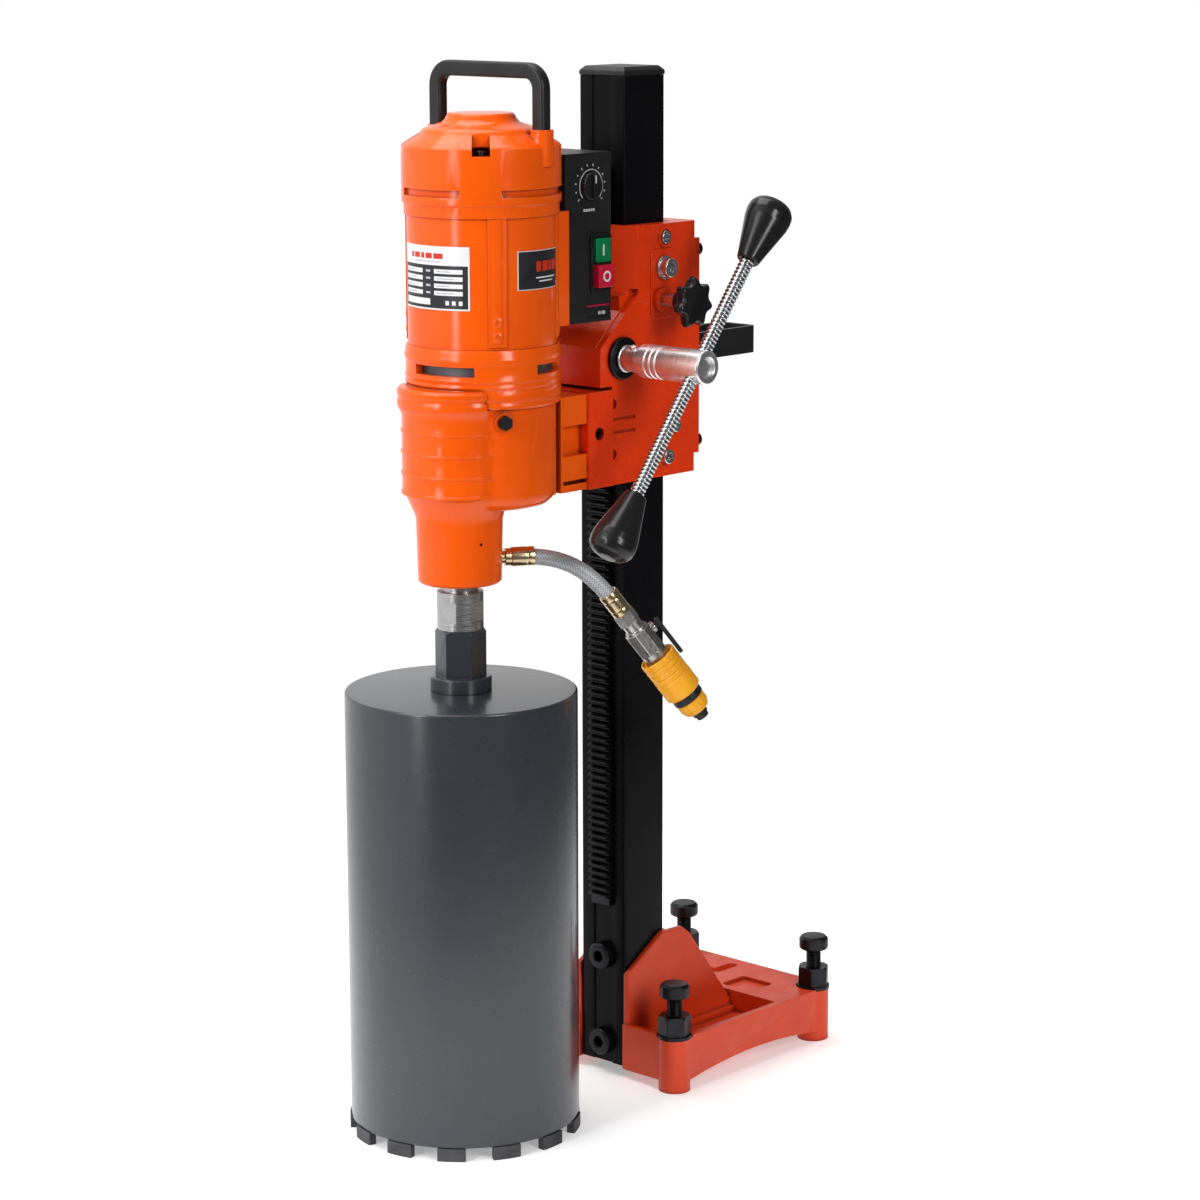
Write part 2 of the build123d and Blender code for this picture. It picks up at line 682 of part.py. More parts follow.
def gearbox_ring():
    low, high = RING_ZS
    profile = [
        (BODY_IN, low), (73.6, low), (74.8, 725), (75.0, 727), (74.0, 729.5), (75.2, 732), (75.2, 739),
        (74.0, 741.5), (75.4, 744), (74.2, 747), (75.4, 750), (74.4, 752.5), (74.4, 765),
        (75.6, 767.5), (75.6, 771), (74.6, 773.5), (74.8, 776), (73.4, high), (BODY_IN, high),
    ]
    body = lathe(profile, 0, MOTOR_Y)
    for low_turn, high_turn in RING_SLOTS:
        body -= wedge(0, MOTOR_Y, low_turn, high_turn, 110, *VENT_ZS)
    return body


def bearing_shield():
    """The grey casting between motor and gearbox, seen through the vents."""
    body = rod_z(0, MOTOR_Y, 738, 766, BODY_IN - 0.2) - rod_z(0, MOTOR_Y, 744, 767, 60)
    body += rod_z(0, MOTOR_Y, 743, 756, 19)
    body -= rod_z(0, MOTOR_Y, 745, 757, 13.05)
    body -= rod_z(0, MOTOR_Y, 737, 757, 8.5)
    x, y = IDLER_AT
    body += rod_z(x, y, 743, 752, 12.5)
    body -= rod_z(x, y, 737, 746, 9.55)
    for turn in range(5):
        a = math.radians(100 + 52 * turn)
        body -= rod_z(44 * math.cos(a), MOTOR_Y + 44 * math.sin(a), 737, 745, 8)
    return body


def motor_lid():
    outer = [
        (0, 911.5), (BODY_R + 0.2, 911.5), (BODY_R + 0.2, 903.4), (74.6, 903.4), (74.6, 913.8), (LID_R, 915.2),
        (LID_R, 967.5), (LID_R - 2.5, 970), (58.5, 979.5), (55.5, 983.5), (50.5, 985.5),
        (38, 989), (34, 993), (32.5, 996.5), (30.5, LID_TOP), (0, LID_TOP),
    ]
    body = lathe(outer, 0, MOTOR_Y)
    # ventilated hollow under the dome
    hollow = [(0, 908), (69, 908), (69, 962), (48, 974), (28, 982), (19, 982), (19, 935), (0, 935)]
    body -= lathe(hollow, 0, MOTOR_Y)
    body -= rod_z(0, MOTOR_Y, 905, 960.5, 13.05)
    body -= rod_z(0, MOTOR_Y, 955, 963, 7)
    groove = tube_z(0, MOTOR_Y, 922.5, 929.5, LID_R + 3, LID_R - 3.2)
    groove -= wedge(0, MOTOR_Y, -61, -31, 120, 922, 930)
    groove -= wedge(0, MOTOR_Y, -149, -119, 120, 922, 930)
    body -= groove
    for x, y in lid_screw_places():
        body += rod_z(x, y, 911.5, LID_SEAT + 0.8, 7.2) & rod_z(0, MOTOR_Y, 905, 968, LID_R - 0.5)
    for turn in LID_SCREW_TURNS:
        notch = Pos(0, MOTOR_Y, 0) * Rot(0, 0, turn) * block(57, 90, -8.5, 8.5, LID_SEAT, 990)
        body -= notch
    for x, y in lid_screw_places():
        body -= rod_z(x, y, 905, 965, 2.55)
    for side in (-1, 1):
        body += rod_z(side * HANDLE_X, HANDLE_Y, 950, 984, 11)
    return body


def top_handle():
    outer = block(-HANDLE_X - 7.5, HANDLE_X + 7.5, HANDLE_Y - 7.5, HANDLE_Y + 7.5, 984, HANDLE_TOP)
    outer = fillet([e for e in edges_on(outer, "Z", HANDLE_TOP) if e.bounding_box().size.Y > 5], 17)
    inner = block(-HANDLE_X + 7.5, HANDLE_X - 7.5, HANDLE_Y - 20, HANDLE_Y + 20, 960, HANDLE_TOP - 13.5)
    inner = fillet([e for e in edges_on(inner, "Z", HANDLE_TOP - 13.5) if e.bounding_box().size.Y > 5], 9)
    body = outer - inner
    long_edges = [e for e in body.edges() if e.length > 8 and abs(e.bounding_box().size.Y) < 0.01]
    return fillet([e for e in long_edges if e.bounding_box().min.Z > 984.01 or e.bounding_box().size.Z > 5], 2.5)


def rating_plates():
    white = arc_plate(0, MOTOR_Y, -126, -54.6, BODY_R, BODY_R + 0.6, 817, 877)
    badge = arc_plate(0, MOTOR_Y, -18, 36, BODY_R, BODY_R + 0.6, 835, 872)
    return group([white, badge])


def gearbox_housing():
    nose = [
        (0, 550), (38.5, 550), (40.5, 552), (42, 612), (43.5, 618), (52, 637), (53, 638),
        (55.7, 638), (55.7, 640.5), (NOSE_R, 641.5), (NOSE_R, 656), (55.7, 656.8), (55.7, 658.6), (NOSE_R, 659.4),
        (NOSE_R, 677), (55.7, 677.8), (55.7, 679.4), (NOSE_R, 680.2), (NOSE_R, 697.6), (55.7, 698.4),
        (55.7, 700), (NOSE_R, 700.8), (NOSE_R, 715), (0, 715),
    ]
    rear = chamfer_cylinder(0, MOTOR_Y, 623, RING_ZS[0], REAR_R, 16)
    body = lathe(nose, 0, SPINDLE_Y) + rear
    # the closed rim in front of the ring, over the spindle's gear
    rim = [
        (0, 714.5), (NOSE_R - 0.2, 714.5), (57.4, 720.5), (58.6, 722.5), (58.6, 728.5), (57.6, 730), (57.6, 732),
        (58.6, 733.5), (58.6, 738.5), (56.2, 741), (0, 741),
    ]
    body += lathe(rim, 0, SPINDLE_Y) - rod_z(0, MOTOR_Y, RING_ZS[0], 760, 75.9)
    # the bracket that carries the drill on the block
    bracket = block(-46, 46, -150, BLOCK_YS[0], 629, 723)
    for side in (-1, 1):
        x_low, x_high = sorted((side * 36, side * 60))
        bracket -= block(x_low, x_high, -139 + 3, BLOCK_YS[0] + 1, 664, 694)
        bracket -= block(x_low, x_high, -139 + 3, BLOCK_YS[0] + 1, 636, 640)
    bracket -= block(-60, 60, -160, -139, 600, 730) - rod_z(0, MOTOR_Y, 600, 730, REAR_R)
    body += bracket + dovetail(0, 632, 712)
    # inside: gear chamber, space behind the spindle's bearings, bearing seats
    body -= rod_z(0, SPINDLE_Y, 684, 716, 52)
    x, y = IDLER_AT
    chamber = rod_z(0, MOTOR_Y, 641, 724, BODY_IN) - rod_z(0, SPINDLE_Y, 600, 684, 38)
    chamber -= rod_z(x, y, 600, 686, 14)
    body -= chamber
    body -= rod_z(x, y, 676, 690, 9.55)
    body -= rod_z(0, SPINDLE_Y, 664, 690, 31.05)
    body -= rod_z(0, SPINDLE_Y, 592, 608, 31.05)
    body -= rod_z(0, SPINDLE_Y, 540, 592.5, 24.5)
    body -= rod_z(0, SPINDLE_Y, 600, 670, 22)
    for side in (-1, 1):
        boss = along_plug(side, -3, 8.8, 9.0) - rod_z(0, MOTOR_Y, 600, 720, BODY_IN)
        body += boss - rod_z(0, SPINDLE_Y, 600, 720, 52)
        body -= along_plug(side, -4, 9, 5.05)
    body -= water_way(20, 60, 6.05)
    body -= Pos(0, SPINDLE_Y, 592) * Rot(0, 0, -15.3) * rod_x(34, 45, 0, 0, 1.6)
    return body


def chamfer_cylinder(x, y, z_low, z_high, r, cut):
    """A cylinder whose lower rim is rounded off in three flats."""
    points = [
        (0, z_low), (r - cut, z_low), (r - cut * 0.5, z_low + cut * 0.14), (r - cut * 0.14, z_low + cut * 0.5),
        (r, z_low + cut), (r, z_high), (0, z_high),
    ]
    return lathe(points, x, y)


def plug_plane(side):
    turn = math.radians(PLUG_TURN)
    direction = (side * math.cos(turn), math.sin(turn), 0)
    origin = (side * 64.4 * math.cos(turn), MOTOR_Y + 64.4 * math.sin(turn), 711)
    return Plane(origin=origin, x_dir=(0, 0, 1), z_dir=direction)


def along_plug(side, near, far, r):
    """A cylinder on the oil plug's axis, beside the valley between the two round housings."""
    return plug_plane(side) * Pos(0, 0, (near + far) / 2) * Cylinder(r, far - near)


def oil_plugs():
    plugs = []
    for side in (-1, 1):
        head = extrude(plug_plane(side).offset(8.8) * RegularPolygon(7.2, 6), amount=5.5)
        plugs.append(along_plug(side, 0.5, 9.0, 5.0) + head)
    return group(plugs)


def water_way(s_low, s_high, r):
    """A cylinder on the water inlet's axis, from s_low to s_high off the spindle's axis."""
    plane = Plane(
        origin=(0, SPINDLE_Y, HOSE_EXIT_Z), x_dir=(0, 0, 1), z_dir=(HOSE_DIR[0], HOSE_DIR[1], 0)
    )
    return plane * Pos(0, 0, (s_low + s_high) / 2) * Cylinder(r, s_high - s_low)


def water_nipple():
    body = water_way(34, 44.5, 6.0) + water_way(44, 50, 8.6)
    return body - water_way(30, 51, 3.5)


save(motor_housing(), "motor_housing")
save(gearbox_ring(), "gearbox_ring")
save(bearing_shield(), "bearing_shield")
save(motor_lid(), "motor_lid")
save(top_handle(), "top_handle")
save(rating_plates(), "rating_plates")
save(gearbox_housing(), "gearbox_housing")
save(oil_plugs(), "oil_plugs")
save(water_nipple(), "water_nipple")


# ---------------------------------------------------------------- the switch box

def switch_box():
    (y_low, y_high), (z_low, z_high) = BOX_YS, BOX_ZS
    body = block(-SIDE_X, SIDE_X, y_low, y_high, z_low, BOX_SKIRT_Z)
    body += block(-SIDE_X, SIDE_X, -133, y_high, BOX_SKIRT_Z, z_high)
    body = fillet([e for e in edges_on(body, "Y", y_high) if e.length > 60], 3)
    body -= rod_z(0, MOTOR_Y, BOX_SKIRT_Z, z_high + 5, LID_R + 1)
    body -= rod_z(0, MOTOR_Y, z_low - 1, BOX_SKIRT_Z, BODY_R)
    # the wiring space, open to the front, where the motor's saddle closes it
    body -= block(-43, 43, y_low - 1, y_high - 4, z_low + 4, BOX_SKIRT_Z - 3)
    body -= block(-43, 43, -115, y_high - 4, BOX_SKIRT_Z - 4, z_high - 4)
    y, z = DIAL_AT
    dial_ring = rod_x(SIDE_X - 1, SIDE_X + 1.2, y, z, 18.5) - rod_x(SIDE_X - 2, SIDE_X + 3, y, z, 14.4)
    body += dial_ring
    body -= rod_x(40, SIDE_X + 5, y, z, 4.3)
    body -= block(SIDE_X - 0.6, SIDE_X + 2, -110, -87, 900.5, 903.5)
    # a sunk panel for the two push buttons
    body -= block(SIDE_X - 2, SIDE_X + 2, -103, y_high + 1, 797, 882)
    for y_a, y_b, z_a, z_b in (START_BOX, STOP_BOX):
        body -= block(36, SIDE_X + 2, y_a - 0.3, y_b + 0.3, z_a - 0.3, z_b + 0.3)
    body -= rod_x(-SIDE_X - 5, -40, -98, 815, 6.3)
    return body


def cable_gland():
    body = rod_x(-58, -44, -98, 815, 6.2) + hexagon_x(-53, -SIDE_X, -98, 815, 20)
    body += rod_x(-64, -53, -98, 815, 9)
    return body - rod_x(-70, -40, -98, 815, 4)


def hexagon_x(x_low, x_high, y, z, across):
    face = Plane(origin=(x_low, y, z), z_dir=(1, 0, 0)) * RegularPolygon(across / math.sqrt(3), 6)
    return extrude(face, amount=x_high - x_low)


def speed_dial():
    y, z = DIAL_AT
    body = rod_x(SIDE_X + 0.3, SIDE_X + 4.6, y, z, 13.9)
    body += block(SIDE_X + 4, SIDE_X + 8, y - 2.6, y + 2.6, z - 12, z + 12)
    return body + rod_x(38, SIDE_X + 1, y, z, 4.25)


def start_button():
    y_a, y_b, z_a, z_b = START_BOX
    cap = block(41, SIDE_X + 0.4, y_a, y_b, z_a, z_b)
    return chamfer(edges_on(cap, "X", SIDE_X + 0.4), 1.0)


def stop_button():
    y_a, y_b, z_a, z_b = STOP_BOX
    cap = block(41, SIDE_X + 6.5, y_a, y_b, z_a, z_b)
    return chamfer(edges_on(cap, "X", SIDE_X + 6.5), 1.5)


save(switch_box(), "switch_box")
save(cable_gland(), "cable_gland")
save(speed_dial(), "speed_dial")
save(start_button(), "start_button")
save(stop_button(), "stop_button")


# ---------------------------------------------------------------- the motor's insides and the gears

def stator_core():
    body = tube_z(0, MOTOR_Y, 800, 885, BODY_IN - 0.15, 50)
    for middle in (0, 180):
        body += arc_plate(0, MOTOR_Y, middle - 52, middle + 52, 39.2, 50.5, 800, 885)
    return body


def field_coils():
    coils = []
    for middle in (0, 180):
        coil = arc_plate(0, MOTOR_Y, middle - 60, middle + 60, 42, 54, 791.5, 799.8)
        coil += arc_plate(0, MOTOR_Y, middle - 60, middle + 60, 42, 54, 885.2, 892.5)
        for low_turn in (middle - 62, middle + 54):
            coil += arc_plate(0, MOTOR_Y, low_turn, low_turn + 8, 42, 49.6, 791.5, 892.5)
        coils.append(coil)
    return group(coils)


def brush_gear():
    body = tube_z(0, MOTOR_Y, 896, 900, 57.4, 24)
    for side in (-1, 1):
        holder = block(*sorted((side * 22, side * 50)), MOTOR_Y - 7, MOTOR_Y + 7, 899, 917)
        body += holder
        body += block(*sorted((side * 18.4, side * 23)), MOTOR_Y - 5, MOTOR_Y + 5, 902, 914)
    return body


def ball_bearings():
    x, y = IDLER_AT
    return group([
        ring_bearing(0, SPINDLE_Y, 664.1, 680, 31, 15.06),
        ring_bearing(0, SPINDLE_Y, 592.7, 607.9, 31, 17.46),
        ring_bearing(0, MOTOR_Y, 745.2, 754.8, 13, 6.06),
        ring_bearing(0, MOTOR_Y, 950, 960.3, 13, 6.06),
        ring_bearing(x, y, 738.5, 746, 9.5, 5.06),
        ring_bearing(x, y, 677, 686, 9.5, 5.06),
    ])


MOTOR_TO_IDLER = math.degrees(math.atan2(IDLER_AT[1] - MOTOR_Y, IDLER_AT[0]))
IDLER_TO_SPINDLE = math.degrees(math.atan2(SPINDLE_Y - IDLER_AT[1], -IDLER_AT[0]))


def armature_shaft():
    teeth = gear(FAST_MODULE, ARMATURE_TEETH, 14)
    teeth = Pos(0, MOTOR_Y, 721) * Rot(0, 0, MOTOR_TO_IDLER) * teeth
    return teeth + rod_z(0, MOTOR_Y, 734, 962, 6.0)


def armature_core():
    body = rod_z(0, MOTOR_Y, 800, 885, 38) - rod_z(0, MOTOR_Y, 790, 890, 6.0)
    for i in range(12):
        a = math.radians(30 * i)
        body -= rod_z(36.5 * math.cos(a), MOTOR_Y + 36.5 * math.sin(a), 790, 890, 2.4)
    body += tube_z(0, MOTOR_Y, 885, 892, 31, 6.0)
    return body + tube_z(0, MOTOR_Y, 793, 800, 31, 6.0)


def commutator():
    body = tube_z(0, MOTOR_Y, 898, 920, 18, 6.0) + tube_z(0, MOTOR_Y, 895.5, 898.5, 21, 6.0)
    for i in range(12):
        a = 30 * i
        body -= Pos(0, MOTOR_Y, 0) * Rot(0, 0, a) * block(16.8, 25, -0.4, 0.4, 894, 921)
    return body


def cooling_fan():
    body = tube_z(0, MOTOR_Y, 774, 777, 58, 6.0) + tube_z(0, MOTOR_Y, 774, 789, 11, 6.0)
    for i in range(12):
        body += Pos(0, MOTOR_Y, 0) * Rot(0, 0, 30 * i) * block(26, 57.5, -1, 1, 776.5, 789)
    return body


def idler_gear():
    x, y = IDLER_AT
    big = gear(FAST_MODULE, IDLER_TEETH, 12)
    big = Pos(x, y, 722) * Rot(0, 0, MOTOR_TO_IDLER + 180 + 180 / IDLER_TEETH) * big
    small = gear(SLOW_MODULE, IDLER_PINION_TEETH, 20)
    small = Pos(x, y, 689) * Rot(0, 0, IDLER_TO_SPINDLE) * small
    return big + small + rod_z(x, y, 678, 745.4, 5.0) + rod_z(x, y, 708.5, 722.5, 9.5)


def spindle_shaft():
    profile = [
        (0, 472), (14.8, 472), (15.9, 473.5), (15.9, 504), (22.5, 504), (22.5, 541), (17.4, 541.5), (17.4, 610),
        (15, 610.5), (15, 712), (0, 712),
    ]
    body = lathe(profile, 0, SPINDLE_Y)
    for turn in (0, 90):
        flat = block(20.3, 30, -20, 20, 512, 532)
        for way in (0, 180):
            body -= Pos(0, SPINDLE_Y, 0) * Rot(0, 0, turn + way + 8) * flat
    body -= rod_z(0, SPINDLE_Y, 460, 575, 5)
    return body - Pos(0, SPINDLE_Y, 570) * Rot(0, 90, 0) * Cylinder(3, 60)


def spindle_gear():
    teeth = gear(SLOW_MODULE, SPINDLE_TEETH, 18)
    teeth = Pos(0, SPINDLE_Y, 690) * Rot(0, 0, IDLER_TO_SPINDLE + 180 + 180 / SPINDLE_TEETH) * teeth
    for i in range(6):
        a = math.radians(60 * i)
        teeth -= rod_z(31 * math.cos(a), SPINDLE_Y + 31 * math.sin(a), 680, 710, 7)
    return teeth - rod_z(0, SPINDLE_Y, 680, 716, 15.0)


def bit_hub():
    profile = [(0, BARREL_TOP), (30, BARREL_TOP), (30, 456), (29, 457.5), (0, 457.5)]
    body = lathe(profile, 0, SPINDLE_Y)
    hexed = hexagon(0, SPINDLE_Y, 457, 503.8, 50 * math.sqrt(3) / 2, 40)
    rounded = lathe([(0, 456), (25, 456), (25, 501), (23, 503.8), (0, 503.8)], 0, SPINDLE_Y)
    body += hexed & rounded
    body -= rod_z(0, SPINDLE_Y, 470, 505, 16.0)
    return body - rod_z(0, SPINDLE_Y, 400, 480, 9)


def core_barrel():
    profile = [
        (BARREL_R - BARREL_WALL, SEGMENT_H), (BARREL_R, SEGMENT_H), (BARREL_R, BARREL_TOP - 1.5),
        (BARREL_R - 1.5, BARREL_TOP), (9, BARREL_TOP), (9, BARREL_TOP - 8), (BARREL_R - BARREL_WALL, BARREL_TOP - 8),
    ]
    return lathe(profile, 0, SPINDLE_Y)


def core_segments():
    pieces = []
    half = math.degrees(14.0 / BIT_R)
    for i in range(SEGMENTS):
        middle = -52 + 360 / SEGMENTS * i
        pieces.append(arc_plate(0, SPINDLE_Y, middle - half, middle + half, 107, BIT_R, 0, SEGMENT_H))
    return group(pieces)


save(stator_core(), "stator_core")
save(field_coils(), "field_coils")
save(brush_gear(), "brush_gear")
save(ball_bearings(), "ball_bearings")
save(armature_shaft(), "armature_shaft")
save(armature_core(), "armature_core")
save(commutator(), "commutator")
save(cooling_fan(), "cooling_fan")
save(idler_gear(), "idler_gear")
save(spindle_shaft(), "spindle_shaft")
save(spindle_gear(), "spindle_gear")
save(bit_hub(), "bit_hub")
save(core_barrel(), "core_barrel")
save(core_segments(), "core_segments")


# ---------------------------------------------------------------- the water hose and its quick connector

def on_hose_plane(s, z):
    """A point in the hose's upright plane, s outward from the spindle's axis."""
    return (HOSE_DIR[0] * s, SPINDLE_Y + HOSE_DIR[1] * s, z)


def hose_corners():
    corners = [(50.0, HOSE_EXIT_Z)]
    for run, pitch in zip(HOSE_RUNS, HOSE_PITCHES):
        s, z = corners[-1]
        a = math.radians(pitch)
        corners.append((s + run * math.cos(a), z - run * math.sin(a)))
    return corners


def hose_radii():
    radii = []
    for i in range(1, len(HOSE_RUNS)):
        half_turn = math.radians(HOSE_PITCHES[i] - HOSE_PITCHES[i - 1]) / 2
        radii.append(0.45 * min(HOSE_RUNS[i - 1], HOSE_RUNS[i]) / math.tan(half_turn))
    return radii


def hose_path():
    """Straight runs joined by tangent arcs."""
    corners = hose_corners()
    pitches = [math.radians(p) for p in HOSE_PITCHES]
    edges = []
    start = corners[0]
    for i, radius in enumerate(hose_radii()):
        half_turn = (pitches[i + 1] - pitches[i]) / 2
        cut = radius * math.tan(half_turn)
        s, z = corners[i + 1]
        enter = (s - cut * math.cos(pitches[i]), z + cut * math.sin(pitches[i]))
        leave = (s + cut * math.cos(pitches[i + 1]), z - cut * math.sin(pitches[i + 1]))
        # the arc's middle lies on the corner's bisector
        inward = radius / math.cos(half_turn) - radius
        bisector = (pitches[i] + pitches[i + 1]) / 2 + math.pi / 2
        middle = (s + inward * math.cos(bisector), z - inward * math.sin(bisector))
        edges.append(Line(on_hose_plane(*start), on_hose_plane(*enter)))
        edges.append(ThreePointArc(on_hose_plane(*enter), on_hose_plane(*middle), on_hose_plane(*leave)))
        start = leave
    edges.append(Line(on_hose_plane(*start), on_hose_plane(*corners[-1])))
    return Wire(edges)


def water_hose():
    section = Plane(origin=on_hose_plane(*hose_corners()[0]), z_dir=(HOSE_DIR[0], HOSE_DIR[1], 0)) * Circle(HOSE_R)
    return sweep(section, path=hose_path())


END_PITCH = math.radians(HOSE_PITCHES[-1])
END_AXIS = (HOSE_DIR[0] * math.cos(END_PITCH), HOSE_DIR[1] * math.cos(END_PITCH), -math.sin(END_PITCH))
END_UP = (HOSE_DIR[0] * math.sin(END_PITCH), HOSE_DIR[1] * math.sin(END_PITCH), math.cos(END_PITCH))


def end_plane(t):
    """A plane across the connector's axis, t beyond the hose's end, with its X axis to the upper side."""
    s, z = hose_corners()[-1]
    x, y, z = on_hose_plane(s + t * math.cos(END_PITCH), z - t * math.sin(END_PITCH))
    return Plane(origin=(x, y, z), x_dir=END_UP, z_dir=END_AXIS)


def on_end(t_low, t_high, r):
    return end_plane(t_low) * Pos(0, 0, (t_high - t_low) / 2) * Cylinder(r, t_high - t_low)


def on_end_ring(t_low, t_high, r_out, r_in):
    return on_end(t_low, t_high, r_out) - on_end(t_low - 1, t_high + 1, r_in)


def hose_ferrules():
    near = water_way(50, 73, 9.6) - water_way(49, 74, HOSE_R + 0.3)
    far = on_end_ring(-25, 0, 10.0, HOSE_R + 0.3)
    return group([near, far])


def hose_coupling():
    hexed = extrude(end_plane(0) * RegularPolygon(11.0, 6), amount=13)
    body = hexed + on_end(12.5, 20.7, 9.6)
    return body - on_end(4, 22, 4)


def valve_body():
    body = on_end(20.7, 24, 11.5) + on_end(23.5, 50, 14) + on_end(49, 62.4, 13.2)
    pivot = end_plane(31.0) * Rot(0, 90, 0)
    body += pivot * Pos(0, 0, 14.5) * Cylinder(6, 4.5)
    return body - on_end(20, 63, 4)


def valve_lever():
    pivot = end_plane(31.0) * Rot(0, 90, 0)
    stem = pivot * Pos(0, 0, 18.8) * Cylinder(3.4, 3.5)
    # the pivot frame's X axis points back along the hose, so the handle reaches to its -X
    bar = pivot * Pos(-17.0, 0, 22.2) * Box(45, 9, 4)
    return stem + fillet(bar.edges().filter_by(lambda e: e.length < 4.01), 1.9)


def connector_collar():
    profile_low, profile_high = 57.0, 104.6
    body = on_end(profile_low, profile_high, 19.0)
    body = chamfer(body.edges().filter_by(GeomType.CIRCLE), 2)
    for t in (64, 70, 76, 82):
        body -= on_end_ring(t, t + 1.6, 22, 18.2)
    return body - on_end(profile_low - 1, profile_high + 1, 13.5)


def connector_body():
    body = on_end(62.4, 105.2, 13.1) + on_end(105.0, 112.4, 16) + on_end(112, 133, 8.0)
    body += on_end(132.5, 137, 6.5)
    return body - on_end(60, 140, 4)


def connector_nut():
    ring = on_end(112.4, 127.6, 15.0)
    ring = chamfer(ring.edges().filter_by(GeomType.CIRCLE), 1.0)
    return ring - on_end(112, 129, 8.05)


save(water_hose(), "water_hose")
save(hose_ferrules(), "hose_ferrules")
save(hose_coupling(), "hose_coupling")
save(valve_body(), "valve_body")
save(valve_lever(), "valve_lever")
save(connector_collar(), "connector_collar")
save(connector_body(), "connector_body")
save(connector_nut(), "connector_nut")

radii_text = ", ".join(f"{r:.1f}" for r in hose_radii())
hose_length = hose_path().length
print(f"hose radii {radii_text} mm, length {hose_length:.1f} mm")
print(f"hose volume {water_hose().volume:.0f}, section x length {math.pi * HOSE_R ** 2 * hose_length:.0f} mm3")
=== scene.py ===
"""The looks of the core drill rig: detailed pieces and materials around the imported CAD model."""

import json
import math

import bmesh
import bpy
from mathutils import Matrix, Vector


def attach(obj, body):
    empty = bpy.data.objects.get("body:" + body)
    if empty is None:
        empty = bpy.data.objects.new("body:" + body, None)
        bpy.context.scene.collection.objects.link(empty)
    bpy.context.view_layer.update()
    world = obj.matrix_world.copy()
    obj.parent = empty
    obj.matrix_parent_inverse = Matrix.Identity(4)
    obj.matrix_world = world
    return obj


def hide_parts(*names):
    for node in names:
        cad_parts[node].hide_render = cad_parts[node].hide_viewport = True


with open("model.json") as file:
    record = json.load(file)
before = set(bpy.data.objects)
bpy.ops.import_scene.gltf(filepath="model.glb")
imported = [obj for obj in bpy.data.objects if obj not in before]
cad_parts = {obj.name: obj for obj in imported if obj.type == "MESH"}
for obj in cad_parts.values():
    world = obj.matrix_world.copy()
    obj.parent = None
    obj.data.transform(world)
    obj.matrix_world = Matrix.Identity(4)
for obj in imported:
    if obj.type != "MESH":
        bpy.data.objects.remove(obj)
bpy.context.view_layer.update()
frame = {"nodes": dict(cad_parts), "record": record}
NODES = frame["nodes"]
RECORD = frame["record"]
SLOT_OF = {entry["node"]: entry["material_slot"] for entry in RECORD["subparts"]}
BODY_OF = {node: body for body, nodes in RECORD["behaviour"]["bodies"].items() for node in nodes}

# Pieces are drawn in millimetres, with the column's axis at x = 0, y = 0 and the floor at z = 0.
# The frame is in metres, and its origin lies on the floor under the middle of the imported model's box.
COLUMN_IN_FRAME = Vector((-0.026856, 0.064553, 0))
TO_FRAME = Matrix.Translation(COLUMN_IN_FRAME) @ Matrix.Scale(0.001, 4)

FOOT_XS = {"left": -92.1, "right": 92.1}
FOOT_YS = {"front": -22.6, "rear": 201.7}
CRANK_Y = -52.5
CRANK_Z = 753.7
ROD_X = 145.5
ROD_TILT = math.radians(37.5)
MOTOR_Y = -199.0
MOTOR_R = 72.0
SPINDLE_Y = -233.3
NIPPLE_Z = 571.7

# (y, z) of the knobs and buttons, which all turn or slide along x
KNOB_AT = (3.7, 807.0)
DIAL_AT = (-98.0, 925.0)
START_AT = (-79.25, 862.0)
STOP_AT = (-81.0, 837.0)

# The camera's place is in drawing millimetres, and its lens in millimetres on a 36 mm sensor.
CAMERA_AT = Vector((2271.38, -2494.07, 1177.33))
CAMERA_RIGHT = Vector((0.734633, 0.678461, -0.002360))
CAMERA_UP = Vector((-0.132555, 0.146939, 0.980223))
CAMERA_AHEAD = Vector((-0.665390, 0.719791, -0.197880))
SENSOR = 36
LENS = 101.1483
LENS_SHIFT = 0.00178

FLOOR_HALF = 8.0
WHITE = (1, 1, 1, 1)


# ---------------------------------------------------------------- camera, floor and lights

def camera():
    data = bpy.data.cameras.new("camera")
    data.lens = LENS
    data.sensor_width = SENSOR
    data.shift_x = LENS_SHIFT
    data.clip_end = 50
    obj = bpy.data.objects.new("camera", data)
    turn = Matrix((CAMERA_RIGHT, CAMERA_UP, -CAMERA_AHEAD)).transposed().to_4x4()
    obj.matrix_world = Matrix.Translation(TO_FRAME @ CAMERA_AT) @ turn
    bpy.context.scene.collection.objects.link(obj)
    bpy.context.scene.camera = obj
    bpy.context.scene.view_settings.view_transform = "Standard"


def area_light(name, place, aim, size, size_y, power):
    data = bpy.data.lights.new(name, "AREA")
    data.shape = "RECTANGLE"
    data.size = size
    data.size_y = size_y
    data.energy = power
    obj = bpy.data.objects.new(name, data)
    direction = Vector(aim) - Vector(place)
    obj.matrix_world = Matrix.Translation(place) @ direction.to_track_quat("-Z", "Y").to_matrix().to_4x4()
    bpy.context.scene.collection.objects.link(obj)


